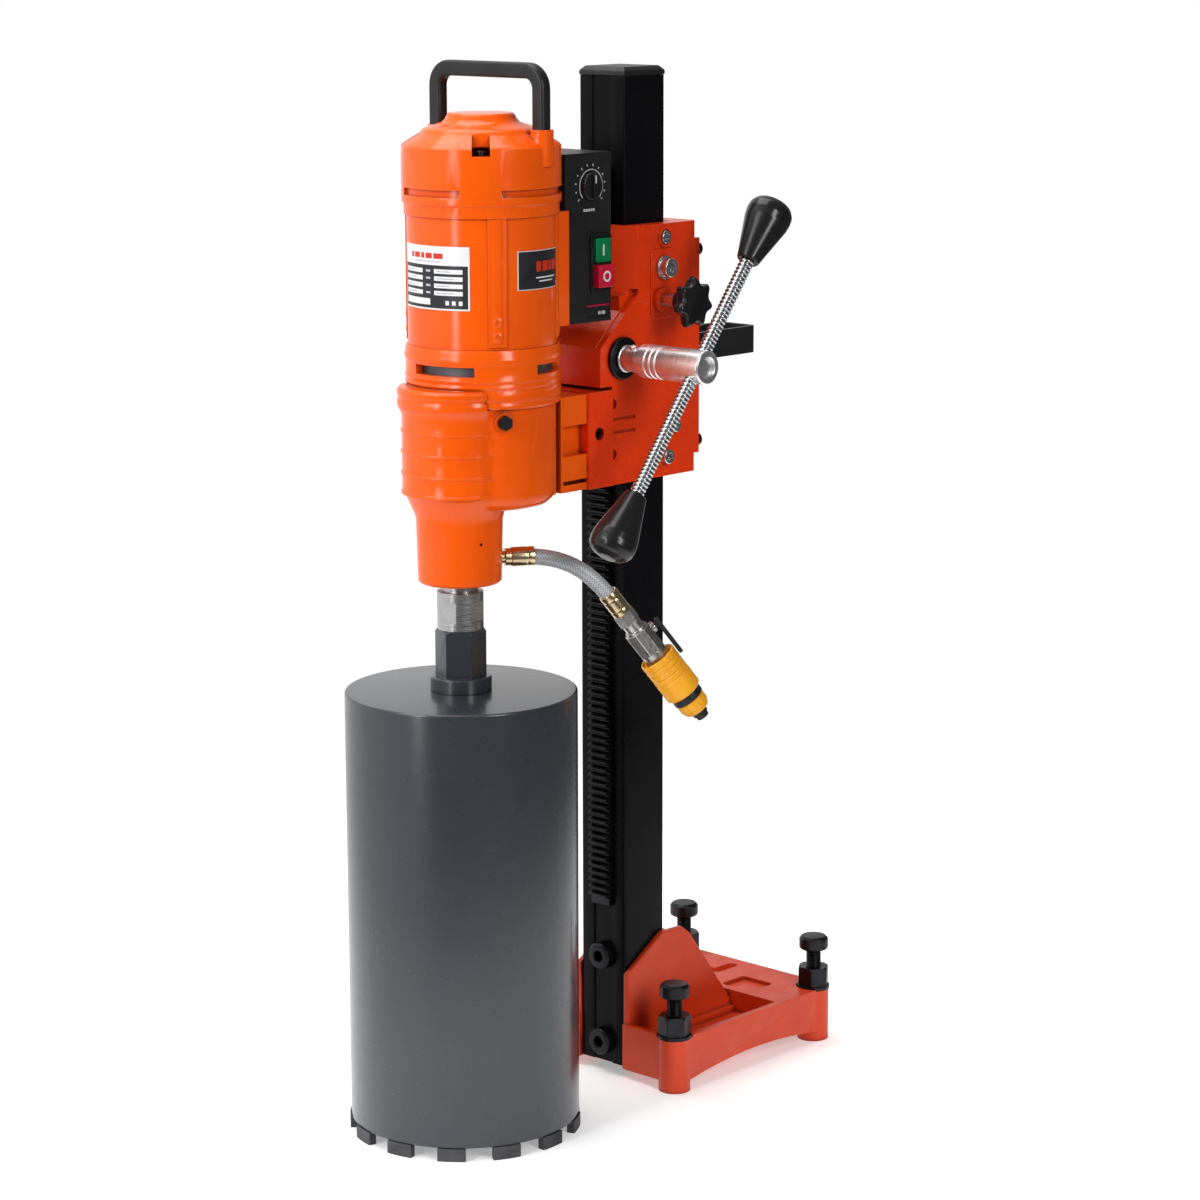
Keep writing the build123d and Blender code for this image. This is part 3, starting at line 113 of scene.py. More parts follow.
def studio():
    """Soft light, mostly from the left and above, four lamps, and plain white where the camera looks."""
    world = bpy.data.worlds.new("studio")
    world.use_nodes = True
    nodes = world.node_tree.nodes
    links = world.node_tree.links
    coords = nodes.new("ShaderNodeTexCoord")
    toward = nodes.new("ShaderNodeVectorMath")
    toward.operation = "DOT_PRODUCT"
    toward.inputs[1].default_value = Vector((-0.92, -0.22, 0.32)).normalized()
    links.new(coords.outputs["Generated"], toward.inputs[0])
    strength = nodes.new("ShaderNodeMapRange")
    strength.interpolation_type = "SMOOTHSTEP"
    strength.inputs["From Min"].default_value = -0.25
    strength.inputs["From Max"].default_value = 0.75
    strength.inputs["To Min"].default_value = 0.10
    strength.inputs["To Max"].default_value = 0.95
    links.new(toward.outputs["Value"], strength.inputs["Value"])
    lit = nodes["Background"]
    lit.inputs["Color"].default_value = WHITE
    links.new(strength.outputs["Result"], lit.inputs["Strength"])
    seen = nodes.new("ShaderNodeBackground")
    seen.inputs["Color"].default_value = WHITE
    seen.inputs["Strength"].default_value = 1.0
    light_path = nodes.new("ShaderNodeLightPath")
    mix = nodes.new("ShaderNodeMixShader")
    links.new(light_path.outputs["Is Camera Ray"], mix.inputs["Fac"])
    links.new(lit.outputs["Background"], mix.inputs[1])
    links.new(seen.outputs["Background"], mix.inputs[2])
    links.new(mix.outputs["Shader"], nodes["World Output"].inputs["Surface"])
    bpy.context.scene.world = world
    area_light("key", (-0.5, -3.3, 2.3), (0, 0, 0.55), 1.6, 2.2, 44)
    area_light("strip", (0.15, -3.1, 1.3), (0, 0, 0.6), 0.42, 2.4, 26)
    area_light("side", (3.2, -0.6, 1.9), (0, 0, 0.6), 0.8, 1.8, 54)
    area_light("top", (-0.6, -0.2, 3.2), (0, -0.1, 0.5), 2.0, 2.0, 44)


def floor():
    """A matt white floor, which fades into the white surroundings a metre away."""
    mesh = bpy.data.meshes.new("floor")
    corners = [(FLOOR_HALF * x, FLOOR_HALF * y, 0) for x, y in ((-1, -1), (1, -1), (1, 1), (-1, 1))]
    mesh.from_pydata(corners, [], [(0, 1, 2, 3)])
    obj = bpy.data.objects.new("floor", mesh)
    bpy.context.scene.collection.objects.link(obj)
    mat, shader, nodes, links = shader_material("floor")
    cloud = noise(nodes, links, 1.5, 2)
    mixed = mix_color(nodes, links, cloud, (0.93, 0.93, 0.93), (0.90, 0.90, 0.90))
    links.new(mixed, shader.inputs["Base Color"])
    shader.inputs["Roughness"].default_value = 0.75
    shader.inputs["Specular IOR Level"].default_value = 0.1
    shader.inputs["Emission Color"].default_value = WHITE
    shader.inputs["Emission Strength"].default_value = 0.34
    away = nodes.new("ShaderNodeVectorMath")
    away.operation = "LENGTH"
    links.new(coordinates(nodes), away.inputs[0])
    links.new(spread(nodes, links, away.outputs["Value"], 0.55, 1.5, 1.0, 0.0), shader.inputs["Alpha"])
    mesh.materials.append(mat)


# ---------------------------------------------------------------- materials

MATS = {}


def shader_material(name):
    """A new material, kept in MATS under its name."""
    mat = bpy.data.materials.new(name)
    MATS[name] = mat
    mat.use_nodes = True
    nodes = mat.node_tree.nodes
    links = mat.node_tree.links
    shader = nodes["Principled BSDF"]
    return mat, shader, nodes, links


def coordinates(nodes):
    for node in nodes:
        if node.bl_idname == "ShaderNodeTexCoord":
            return node.outputs["Object"]
    return nodes.new("ShaderNodeTexCoord").outputs["Object"]


def stretched(nodes, links, scale):
    """Object coordinates with a different scale along each axis."""
    mapping = nodes.new("ShaderNodeMapping")
    mapping.inputs["Scale"].default_value = scale
    links.new(coordinates(nodes), mapping.inputs["Vector"])
    return mapping.outputs["Vector"]


def noise(nodes, links, scale, detail=3.0, vector=None, rough=0.5):
    node = nodes.new("ShaderNodeTexNoise")
    node.inputs["Scale"].default_value = scale
    node.inputs["Detail"].default_value = detail
    node.inputs["Roughness"].default_value = rough
    links.new(vector or coordinates(nodes), node.inputs["Vector"])
    return node.outputs["Fac"]


def spread(nodes, links, value, low_in, high_in, low_out=0.0, high_out=1.0):
    """Carries the range low_in to high_in over to low_out to high_out."""
    node = nodes.new("ShaderNodeMapRange")
    node.inputs["From Min"].default_value = low_in
    node.inputs["From Max"].default_value = high_in
    node.inputs["To Min"].default_value = low_out
    node.inputs["To Max"].default_value = high_out
    links.new(value, node.inputs["Value"])
    return node.outputs["Result"]


def mix_color(nodes, links, factor, a, b):
    node = nodes.new("ShaderNodeMix")
    node.data_type = "RGBA"
    if isinstance(factor, float):
        node.inputs["Factor"].default_value = factor
    else:
        links.new(factor, node.inputs["Factor"])
    for socket, value in ((node.inputs[6], a), (node.inputs[7], b)):
        if isinstance(value, tuple):
            socket.default_value = (*value, 1)
        else:
            links.new(value, socket)
    return node.outputs[2]


def times(nodes, links, a, b):
    node = nodes.new("ShaderNodeMath")
    node.operation = "MULTIPLY"
    for socket, value in zip(node.inputs, (a, b)):
        if isinstance(value, float):
            socket.default_value = value
        else:
            links.new(value, socket)
    return node.outputs[0]


def edge_wear(nodes, links, radius):
    """How far the surface's normal turns when its edges are rounded: 1 on an edge, 0 on a flat."""
    bevel = nodes.new("ShaderNodeBevel")
    bevel.samples = 4
    bevel.inputs["Radius"].default_value = radius
    geometry = nodes.new("ShaderNodeNewGeometry")
    dot = nodes.new("ShaderNodeVectorMath")
    dot.operation = "DOT_PRODUCT"
    links.new(bevel.outputs["Normal"], dot.inputs[0])
    links.new(geometry.outputs["Normal"], dot.inputs[1])
    return spread(nodes, links, dot.outputs["Value"], 0.98, 0.80)


def crevices(nodes, links, reach):
    """1 on open surfaces and 0 down in grooves, seams and inner corners: the mask for painted shade."""
    node = nodes.new("ShaderNodeAmbientOcclusion")
    node.samples = 8
    node.inputs["Distance"].default_value = reach
    return spread(nodes, links, node.outputs["AO"], 0.25, 0.85)


def bump(nodes, links, shader, height, distance, round_edges=0.0):
    node = nodes.new("ShaderNodeBump")
    node.inputs["Distance"].default_value = distance
    node.inputs["Strength"].default_value = 1.0
    links.new(height, node.inputs["Height"])
    if round_edges:
        bevel = nodes.new("ShaderNodeBevel")
        bevel.samples = 4
        bevel.inputs["Radius"].default_value = round_edges
        links.new(bevel.outputs["Normal"], node.inputs["Normal"])
    links.new(node.outputs["Normal"], shader.inputs["Normal"])


def vary_roughness(nodes, links, shader, pattern, rough):
    """The roughness wanders between two values as the pattern does."""
    links.new(spread(nodes, links, pattern, 0.3, 0.7, *rough), shader.inputs["Roughness"])


def paint(
    name, color, deep, worn, rough=(0.3, 0.42), peel=0.00004, coat=0.0, grain=420.0, edge=0.0007, gloss=0.4
):
    """Sprayed paint: orange peel, soft colour drift, painted shade darkening the crevices, and paler edges.
    """
    mat, shader, nodes, links = shader_material(name)
    drift = spread(nodes, links, noise(nodes, links, 14, 4), 0.35, 0.7)
    base = mix_color(nodes, links, drift, color, deep)
    # painted shade: the colour darkens to a quarter of the deep tone down in grooves, seams and inner corners
    crevice_shaded_base = mix_color(nodes, links, crevices(nodes, links, 0.007), tuple(0.25 * c for c in deep), base)
    rubbed = times(nodes, links, edge_wear(nodes, links, edge), noise(nodes, links, 160, 4))
    links.new(mix_color(nodes, links, rubbed, crevice_shaded_base, worn), shader.inputs["Base Color"])
    vary_roughness(nodes, links, shader, noise(nodes, links, 55, 5), rough)
    shader.inputs["Specular IOR Level"].default_value = gloss
    shader.inputs["Coat Weight"].default_value = coat
    shader.inputs["Coat Roughness"].default_value = 0.12
    bump(nodes, links, shader, noise(nodes, links, grain, 2), peel, edge)


def metal(name, color, dark, rough=(0.2, 0.35), brush=(60, 60, 1400), depth=0.00001, edge=0.0003):
    """Machined or plated metal with fine directional scratches."""
    mat, shader, nodes, links = shader_material(name)
    streak = noise(nodes, links, 1.0, 3, stretched(nodes, links, brush))
    drift = spread(nodes, links, noise(nodes, links, 40, 4), 0.35, 0.7)
    links.new(mix_color(nodes, links, drift, color, dark), shader.inputs["Base Color"])
    shader.inputs["Metallic"].default_value = 1.0
    vary_roughness(nodes, links, shader, streak, rough)
    bump(nodes, links, shader, streak, depth, edge)


def plastic(name, color, deep, rough=(0.35, 0.5), depth=0.00003, coat=0.0):
    """Moulded plastic with a fine spark-eroded grain."""
    mat, shader, nodes, links = shader_material(name)
    drift = spread(nodes, links, noise(nodes, links, 22, 4), 0.35, 0.7)
    links.new(mix_color(nodes, links, drift, color, deep), shader.inputs["Base Color"])
    vary_roughness(nodes, links, shader, noise(nodes, links, 90, 4), rough)
    shader.inputs["Specular IOR Level"].default_value = 0.35
    shader.inputs["Coat Weight"].default_value = coat
    bump(nodes, links, shader, noise(nodes, links, 900, 2), depth, 0.0004)


def hollows(nodes, links, low, high):
    """0 in the valleys of a worked surface, 1 on its crests: the mask for painted shade in the valleys."""
    geometry = nodes.new("ShaderNodeNewGeometry")
    return spread(nodes, links, geometry.outputs["Pointiness"], low, high)


def ridged(name, crest, valley, low, high, metallic, rough):
    """A threaded or braided surface whose valleys are painted dark as painted shade."""
    mat, shader, nodes, links = shader_material(name)
    speckle = noise(nodes, links, 500, 3)
    worn = mix_color(nodes, links, speckle, crest, tuple(0.82 * c for c in crest))
    # painted shade: the valleys take the dark valley colour, the crests the light one
    valley_shaded_tone = mix_color(nodes, links, hollows(nodes, links, low, high), valley, worn)
    links.new(valley_shaded_tone, shader.inputs["Base Color"])
    shader.inputs["Metallic"].default_value = metallic
    vary_roughness(nodes, links, shader, speckle, rough)
    bump(nodes, links, shader, speckle, 0.00001)


def make_materials():
    paint(
        "orange_paint", (0.92, 0.112, 0.003), (0.87, 0.094, 0.002), (0.95, 0.24, 0.05),
        rough=(0.14, 0.21), gloss=0.32,
    )
    paint(
        "base_paint", (0.68, 0.052, 0.010), (0.60, 0.044, 0.008), (0.80, 0.18, 0.07),
        rough=(0.34, 0.5), peel=0.00008, grain=300.0, gloss=0.35,
    )
    paint(
        "carriage_paint", (0.84, 0.046, 0.004), (0.77, 0.040, 0.003), (0.92, 0.17, 0.04),
        rough=(0.2, 0.3), gloss=0.3,
    )
    paint(
        "black_paint", (0.004, 0.004, 0.005), (0.006, 0.006, 0.007), (0.04, 0.04, 0.04),
        rough=(0.26, 0.36), peel=0.00002, edge=0.0006, gloss=0.07,
    )
    paint(
        "bit_paint", (0.029, 0.034, 0.041), (0.025, 0.030, 0.037), (0.10, 0.10, 0.11),
        rough=(0.25, 0.28), peel=0.000005, grain=260.0, edge=0.001, gloss=0.5, coat=0.25,
    )
    metal("steel", (0.52, 0.52, 0.52), (0.42, 0.42, 0.43), rough=(0.22, 0.38))
    metal("dark_steel", (0.035, 0.035, 0.038), (0.022, 0.022, 0.024), rough=(0.32, 0.5))
    metal("chrome", (0.72, 0.73, 0.75), (0.62, 0.62, 0.64), rough=(0.14, 0.28), brush=(1400, 60, 60))
    metal("bright_steel", (0.93, 0.92, 0.92), (0.86, 0.85, 0.86), rough=(0.26, 0.42), brush=(1600, 40, 40))
    metal("segment", (0.12, 0.12, 0.125), (0.07, 0.07, 0.075), rough=(0.55, 0.8), depth=0.0002)
    # painted shade: cast_grey is far darker than a bare casting, standing in for the shade inside the motor
    # behind the vent slots
    metal("cast_grey", (0.13, 0.13, 0.14), (0.09, 0.09, 0.095), rough=(0.45, 0.6))
    metal(
        "laminated_steel", (0.25, 0.25, 0.26), (0.18, 0.18, 0.19),
        rough=(0.4, 0.55), brush=(8, 8, 1900), depth=0.0001,
    )
    metal("copper", (0.72, 0.30, 0.14), (0.55, 0.20, 0.09), rough=(0.25, 0.4))
    metal("brass", (0.68, 0.54, 0.32), (0.56, 0.43, 0.25), rough=(0.16, 0.3))
    plastic("black_plastic", (0.010, 0.010, 0.011), (0.016, 0.016, 0.017))
    plastic("guide_plastic", (0.62, 0.60, 0.52), (0.52, 0.50, 0.43))
    plastic("yellow_plastic", (0.90, 0.40, 0.012), (0.84, 0.35, 0.010), rough=(0.3, 0.42), coat=0.1)
    plastic("green_plastic", (0.0, 0.22, 0.075), (0.0, 0.18, 0.06), rough=(0.25, 0.35))
    plastic("red_plastic", (0.62, 0.008, 0.045), (0.54, 0.006, 0.035), rough=(0.25, 0.35))
    plastic("gloss_plastic", (0.010, 0.010, 0.011), (0.014, 0.014, 0.015), rough=(0.16, 0.26), depth=0.00001)
    plastic("label", (0.80, 0.80, 0.80), (0.74, 0.74, 0.75), rough=(0.3, 0.4), depth=0.00001)
    plastic("print_black", (0.016, 0.016, 0.020), (0.022, 0.022, 0.026), rough=(0.3, 0.4), depth=0.00001)
    plastic("print_grey", (0.52, 0.53, 0.55), (0.44, 0.45, 0.47), rough=(0.35, 0.45), depth=0.00001)
    plastic("print_red", (0.62, 0.035, 0.010), (0.55, 0.030, 0.010), rough=(0.3, 0.4), depth=0.00001)
    # the hose braid and the rolled thread: the second, dark colour is painted shade in their valleys
    ridged("hose_braid", (0.66, 0.68, 0.70), (0.07, 0.075, 0.08), 0.47, 0.53, 0.15, (0.32, 0.45))
    ridged("rolled_thread", (0.66, 0.68, 0.70), (0.10, 0.10, 0.10), 0.46, 0.52, 1.0, (0.18, 0.30))
    metal("cast_zinc", (0.50, 0.49, 0.47), (0.40, 0.39, 0.37), rough=(0.25, 0.4), brush=(300, 300, 300))


def finish_cad_nodes():
    """Every CAD node that stays in view gets its slot's procedural material."""
    for node, obj in NODES.items():
        for slot in obj.material_slots:
            slot.material = MATS[SLOT_OF[node]]


# ---------------------------------------------------------------- shape helpers, in millimetres

def at(x, y, z):
    return Matrix.Translation((x, y, z))


def along(origin, axis, up):
    """A place whose Z axis runs along axis and whose X axis points up."""
    z_axis = Vector(axis).normalized()
    x_axis = (Vector(up) - Vector(up).dot(z_axis) * z_axis).normalized()
    y_axis = z_axis.cross(x_axis)
    return Matrix.Translation(origin) @ Matrix((x_axis, y_axis, z_axis)).transposed().to_4x4()


def along_x(x, y, z):
    """A place whose Z axis runs along x and whose X axis points up, for what turns or slides sideways."""
    return along((x, y, z), (1, 0, 0), (0, 0, 1))


def rounded(points, steps=5):
    """An outline whose corners are rounded: each point is (a, b) or (a, b, corner radius)."""
    outline = []
    for i, point in enumerate(points):
        here = Vector(point[:2])
        if len(point) < 3 or i in (0, len(points) - 1):
            outline.append(here)
            continue
        before = Vector(points[i - 1][:2]) - here
        after = Vector(points[i + 1][:2]) - here
        half = before.angle(after) / 2
        if half > math.radians(89):
            outline.append(here)
            continue
        reach = min(point[2] / math.tan(half), before.length * 0.49, after.length * 0.49)
        radius = reach * math.tan(half)
        middle = here + (before.normalized() + after.normalized()).normalized() * radius / math.sin(half)
        start = here + before.normalized() * reach - middle
        end = here + after.normalized() * reach - middle
        turn = start.angle_signed(end)
        for k in range(steps + 1):
            a = -turn * k / steps
            outline.append(middle + Vector((
                start.x * math.cos(a) - start.y * math.sin(a), start.x * math.sin(a) + start.y * math.cos(a)
            )))
    return [(p.x, p.y) for p in outline]


def lathe(bm, outline, place, steps=72, ripple=None):
    """Turns an outline of (radius, height) round Z; ripple(turn, radius, height) adds to the radius."""
    rings = []
    for r, z in outline:
        if r < 1e-5:
            rings.append([bm.verts.new(place @ Vector((0, 0, z)))])
            continue
        ring = []
        for k in range(steps):
            a = 2 * math.pi * k / steps
            out = r + (ripple(a, r, z) if ripple else 0.0)
            ring.append(bm.verts.new(place @ Vector((out * math.cos(a), out * math.sin(a), z))))
        rings.append(ring)
    for low, high in zip(rings, rings[1:]):
        for k in range(steps):
            n = (k + 1) % steps
            corners = [low[k % len(low)], low[n % len(low)], high[n % len(high)], high[k % len(high)]]
            corners = list(dict.fromkeys(corners))
            if len(corners) > 2:
                bm.faces.new(corners)


def prism(bm, points, low, high, place):
    """A straight solid on a flat outline in the place's XY plane."""
    bottom = [bm.verts.new(place @ Vector((x, y, low))) for x, y in points]
    top = [bm.verts.new(place @ Vector((x, y, high))) for x, y in points]
    bm.faces.new(list(reversed(bottom)))
    bm.faces.new(top)
    for k in range(len(points)):
        n = (k + 1) % len(points)
        bm.faces.new((bottom[k], bottom[n], top[n], top[k]))


def polygon(radius, sides, turn=0.0):
    turns = [turn + 2 * math.pi * k / sides for k in range(sides)]
    return [(radius * math.cos(a), radius * math.sin(a)) for a in turns]


def rectangle(width, height, corner, x=0.0, y=0.0):
    """A rectangle with rounded corners, round (x, y)."""
    a, b = width / 2, height / 2
    points = [(-a, 0), (-a, -b, corner), (a, -b, corner), (a, b, corner), (-a, b, corner), (-a, 0)]
    return [(px + x, py + y) for px, py in rounded(points)[:-1]]


def arc_patch(bm, place, low_turn, high_turn, z_low, z_high, r_in, r_out):
    """A thin curved plate on a cylinder round the place's Z axis."""
    steps = max(2, int(abs(high_turn - low_turn) / 3))
    columns = []
    for k in range(steps + 1):
        a = math.radians(low_turn + (high_turn - low_turn) * k / steps)
        c, s = math.cos(a), math.sin(a)
        columns.append([
            bm.verts.new(place @ Vector((r * c, r * s, z)))
            for r, z in ((r_in, z_low), (r_out, z_low), (r_out, z_high), (r_in, z_high))
        ])
    for a, b in zip(columns, columns[1:]):
        for k in range(4):
            n = (k + 1) % 4
            bm.faces.new((a[k], b[k], b[n], a[n]))
    bm.faces.new(columns[0])
    bm.faces.new(list(reversed(columns[-1])))


def sweep(bm, path, section, sides_up):
    """Carries a closed section along a path; sides_up is the section's fixed X direction."""
    rings = []
    for i, point in enumerate(path):
        before = path[max(i - 1, 0)]
        after = path[min(i + 1, len(path) - 1)]
        place = along(point, Vector(after) - Vector(before), sides_up)
        rings.append([bm.verts.new(place @ Vector((x, y, 0))) for x, y in section])
    for a, b in zip(rings, rings[1:]):
        for k in range(len(section)):
            n = (k + 1) % len(section)
            bm.faces.new((a[k], a[n], b[n], b[k]))
    bm.faces.new(list(reversed(rings[0])))
    bm.faces.new(rings[-1])


def new_piece(name, bm, body, slot, replaces=(), smooth=38, bevel=0.0, segments=2, material=None):
    """Makes the drawn mesh an object of the model, on the body it rides on, and hides the CAD nodes it stands
    for.
    """
    bmesh.ops.recalc_face_normals(bm, faces=bm.faces)
    bmesh.ops.transform(bm, matrix=TO_FRAME, verts=bm.verts)
    mesh = bpy.data.meshes.new(name)
    bm.to_mesh(mesh)
    bm.free()
    return settle(name, mesh, body, slot, replaces, smooth, bevel, segments, material)


def redraw(node, bm, name=None, **look):
    """Makes the drawn mesh stand for a CAD node, on the same body and in the same slot."""
    return new_piece(name or f"{node}_fine", bm, BODY_OF[node], SLOT_OF[node], (node,), **look)


def settle(name, mesh, body, slot, replaces, smooth, bevel, segments, material):
    """Puts a finished mesh in the scene with its material, its rounded edges and its part in the model."""
    mesh.materials.clear()
    mesh.materials.append(MATS[material or slot])
    mesh.polygons.foreach_set("use_smooth", [True] * len(mesh.polygons))
    mesh.set_sharp_from_angle(angle=math.radians(smooth))
    obj = bpy.data.objects.new(name, mesh)
    bpy.context.scene.collection.objects.link(obj)
    if bevel:
        rounding = obj.modifiers.new("rounding", "BEVEL")
        rounding.width = bevel / 1000
        rounding.segments = segments
        rounding.limit_method = "ANGLE"
        rounding.angle_limit = math.radians(35)
        rounding.harden_normals = True
    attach(obj, body)
    if replaces:
        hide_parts(*replaces)
    return obj


def fine(node, bevel, material):
    """The CAD node's own shape with its facets joined and its edges rounded over."""
    bm = bmesh.new()
    bm.from_mesh(NODES[node].data)
    bmesh.ops.remove_doubles(bm, verts=bm.verts, dist=2e-6)
    bmesh.ops.dissolve_limit(bm, angle_limit=math.radians(0.4), verts=bm.verts, edges=bm.edges)
    mesh = bpy.data.meshes.new(f"{node}_fine")
    bm.to_mesh(mesh)
    bm.free()
    settle(f"{node}_fine", mesh, BODY_OF[node], SLOT_OF[node], (node,), 30, bevel, 3, material)


# node, radius of its rounded edges, and its material where it isn't its slot's own
FINE_NODES = (
    ("base_casting", 2.4, None),
    ("column_cap", 1.2, None),
    ("foot_lock_nuts", 0.6, None),
    ("carriage_housing", 1.0, "carriage_paint"),
    ("rear_cover_plate", 0.8, "carriage_paint"),
    ("rear_handle", 1.0, None),
    ("guide_adjusters", 0.3, None),
    ("crank_bushings", 0.8, None),
    ("mount_block", 1.0, "carriage_paint"),
    ("socket_screws", 0.3, None),
    ("motor_housing", 0.7, None),
    ("gearbox_ring", 0.5, None),
    ("motor_lid", 1.0, None),
    ("gearbox_housing", 0.8, None),
    ("switch_box", 0.9, None),
    ("bit_hub", 0.7, None),
)


# ---------------------------------------------------------------- the stand

def thread(pitch, depth):
    """A rolled thread's ripple: the crest climbs one pitch in a turn."""
    def ripple(turn, r, z):
        return depth * (math.cos(2 * math.pi * z / pitch - turn) - 1) / 2
    return ripple


def rows(low, high, step):
    """Evenly spaced heights from low to high, about one step apart."""
    count = max(1, round((high - low) / step))
    return [low + (high - low) * k / count for k in range(count + 1)]


def column():
    """A square tube with a shallow channel down its front for the rack."""
    half, inner, slot_half, slot_floor = 30.0, 24.0, 12.65, -28.5
    foot, head = 11.3, 1027.0
    outline = rounded([
        (0, slot_floor), (-slot_half, slot_floor), (-slot_half, -half, 0.5), (-half, -half, 2.6),
        (-half, half, 2.6), (half, half, 2.6), (half, -half, 2.6), (slot_half, -half, 0.5),
        (slot_half, slot_floor), (0, slot_floor),
    ])[:-1]
    bm = bmesh.new()
    loops = []
    for z in (foot, head):
        outer = [bm.verts.new((x, y, z)) for x, y in outline]
        # the square bore's loop is as long as the outline's: each outer point has its nearest bore point
        found = {}
        within = []
        for x, y in outline:
            corner = (max(-inner, min(inner, x)), max(-inner, min(inner, y)))
            if corner not in found:
                found[corner] = bm.verts.new((*corner, z))
            within.append(found[corner])
        loops.append((outer, within))
    (low_out, low_in), (high_out, high_in) = loops
    for k in range(len(outline)):
        n = (k + 1) % len(outline)
        bm.faces.new((low_out[k], low_out[n], high_out[n], high_out[k]))
        if low_in[k] is not low_in[n]:
            bm.faces.new((low_in[n], low_in[k], high_in[k], high_in[n]))
        for out, within in loops:
            bm.faces.new(dict.fromkeys((out[k], out[n], within[n], within[k])))
    redraw("column_tube", bm)


def leveling_screws():
    shank = [(0, 3.0), (5.6, 3.0), (7.4, 4.6)]
    shank += [(8.0, z) for z in rows(5.0, 97.0, 0.4)]
    shank += [(7.0, 97.6), (7.0, 99.0), (0, 99.0)]
    head = rounded([
        (0, 99), (13.6, 99, 0.8), (15.4, 100.6, 0.8), (15.4, 110.8, 1.4), (12.6, 113.6, 1.2), (0, 113.6)
    ])

    def flutes(turn, r, z):
        return -0.5 * max(0.0, r - 14) * (1 - abs(math.cos(9 * turn)) ** 0.5)

    for end, y in FOOT_YS.items():
        for side, x in FOOT_XS.items():
            bm = bmesh.new()
            lathe(bm, shank, at(x, y, 0), 30, thread(2.0, 1.1))
            lathe(bm, head, at(x, y, 0), 48, flutes)
            redraw(f"leveling_screw_{end}_{side}", bm, smooth=50)


def column_bolts():
    """Knurled cap screws through the column's front, with a hexagon socket."""
    bm = bmesh.new()
    outline = rounded([
        (0, -40), (7.85, -40), (7.85, 26.8), (13.6, 26.8, 0.5), (14.0, 28.0, 0.5), (14.0, 36.6, 0.8),
        (12.4, 38.5, 0.8), (7.2, 38.5, 0.3), (6.4, 37.8), (6.4, 32.0), (0, 31.0),
    ], 4)
    for z in (33.6, 126.0):
        lathe(bm, outline, along((0, 0, z), (0, -1, 0), (0, 0, 1)), 144, knurl_and_socket)
    redraw("column_bolts", bm, smooth=40)


def knurl_and_socket(turn, r, z):
    if r > 13.9 and 28.5 < z < 36.8:
        return 0.35 * (math.cos(36 * turn) - 1)
    if 6.0 < r < 7.3 and z > 31.5:
        side = (turn + math.pi / 6) % (math.pi / 3) - math.pi / 6
        return 5.6 / math.cos(side) - 6.4
    return 0.0


# ---------------------------------------------------------------- the crank and the knobs

# heights here are measured along the rod from the hub, where the grips begin at GRIP_STARTS
ROD_PLACE = along((ROD_X, CRANK_Y, CRANK_Z), (0, math.sin(ROD_TILT), math.cos(ROD_TILT)), (1, 0, 0))
GRIP_STARTS = (121.4, -144.5)


def crank_rod():
    bm = bmesh.new()
    outline = [(0, -184.5), (5.6, -184.5)]
    outline += [(7.3, z) for z in rows(-183.8, 160.7, 0.5)]
    outline += [(5.6, 161.4), (0, 161.4)]
    lathe(bm, outline, ROD_PLACE, 40, thread(4.3, 1.2))
    redraw("crank_rod", bm, name="crank_rod_threaded", smooth=60, material="rolled_thread")


def crank_grips():
    bm = bmesh.new()
    profile = [
        (7.1, 4), (7.1, 0.3), (10.2, 0, 0.8), (11.4, 1.4, 0.8), (13.2, 9, 6), (17.2, 25, 40), (22.2, 45, 22),
        (23.0, 52.5, 12), (22.4, 59, 8), (18.3, 65.4, 9), (8.6, 68.8, 8), (0, 69),
    ]
    for start in GRIP_STARTS:
        turn = Matrix.Translation((0, 0, start))
        if start < 0:
            turn = turn @ Matrix.Rotation(math.pi, 4, "X")
        lathe(bm, rounded(profile, 8), ROD_PLACE @ turn, 64)
    redraw("crank_grips", bm, smooth=60)


def crank_hub():
    bm = bmesh.new()
    outline = [(0, 52.6), (12.4, 52.6), (13.6, 53.4, 0.5), (13.6, 55.2, 0.5), (12.6, 55.6), (12.6, 76.4)]
    outline += [(15.4, 76.6), (16.6, 78.0, 1.0)]
    for x in (91, 98, 105):
        outline += [(16.6, x - 1.2, 0.4), (15.7, x - 0.6, 0.4), (15.7, x + 0.6, 0.4), (16.6, x + 1.2, 0.4)]
    outline += [(16.6, 158.2, 1.0), (15.2, 159.5, 0.5), (10.6, 159.5, 0.6), (9.5, 158.4)]
    outline += [(9.5, 155.3), (0, 155.3)]
    lathe(bm, rounded(outline, 4), along_x(0, CRANK_Y, CRANK_Z), 80)
    # the grub screw that clamps the hub on the shaft
    direction = Vector((0, -0.35, 1)).normalized()
    place = along(Vector((66.5, CRANK_Y, CRANK_Z)) + direction * 11.6, direction, (1, 0, 0))
    screw = rounded([(0, 0), (3.8, 0), (3.8, 3.2, 1.0), (2.2, 3.6), (2.0, 2.0), (0, 2.0)], 4)
    lathe(bm, screw, place, 28)
    redraw("crank_hub", bm, smooth=34, material="bright_steel")


def carriage_land():
    """The raised land on the crank's flank that carries the second adjuster and the lock stud."""
    bm = bmesh.new()
    prism(bm, rectangle(69.5, 38, 8, 822.75, -8), -0.6, 1.1, along_x(47.5, 0, 0))
    new_piece(
        "carriage_land", bm, "carriage", "orange_paint", bevel=0.8, segments=3, material="carriage_paint"
    )


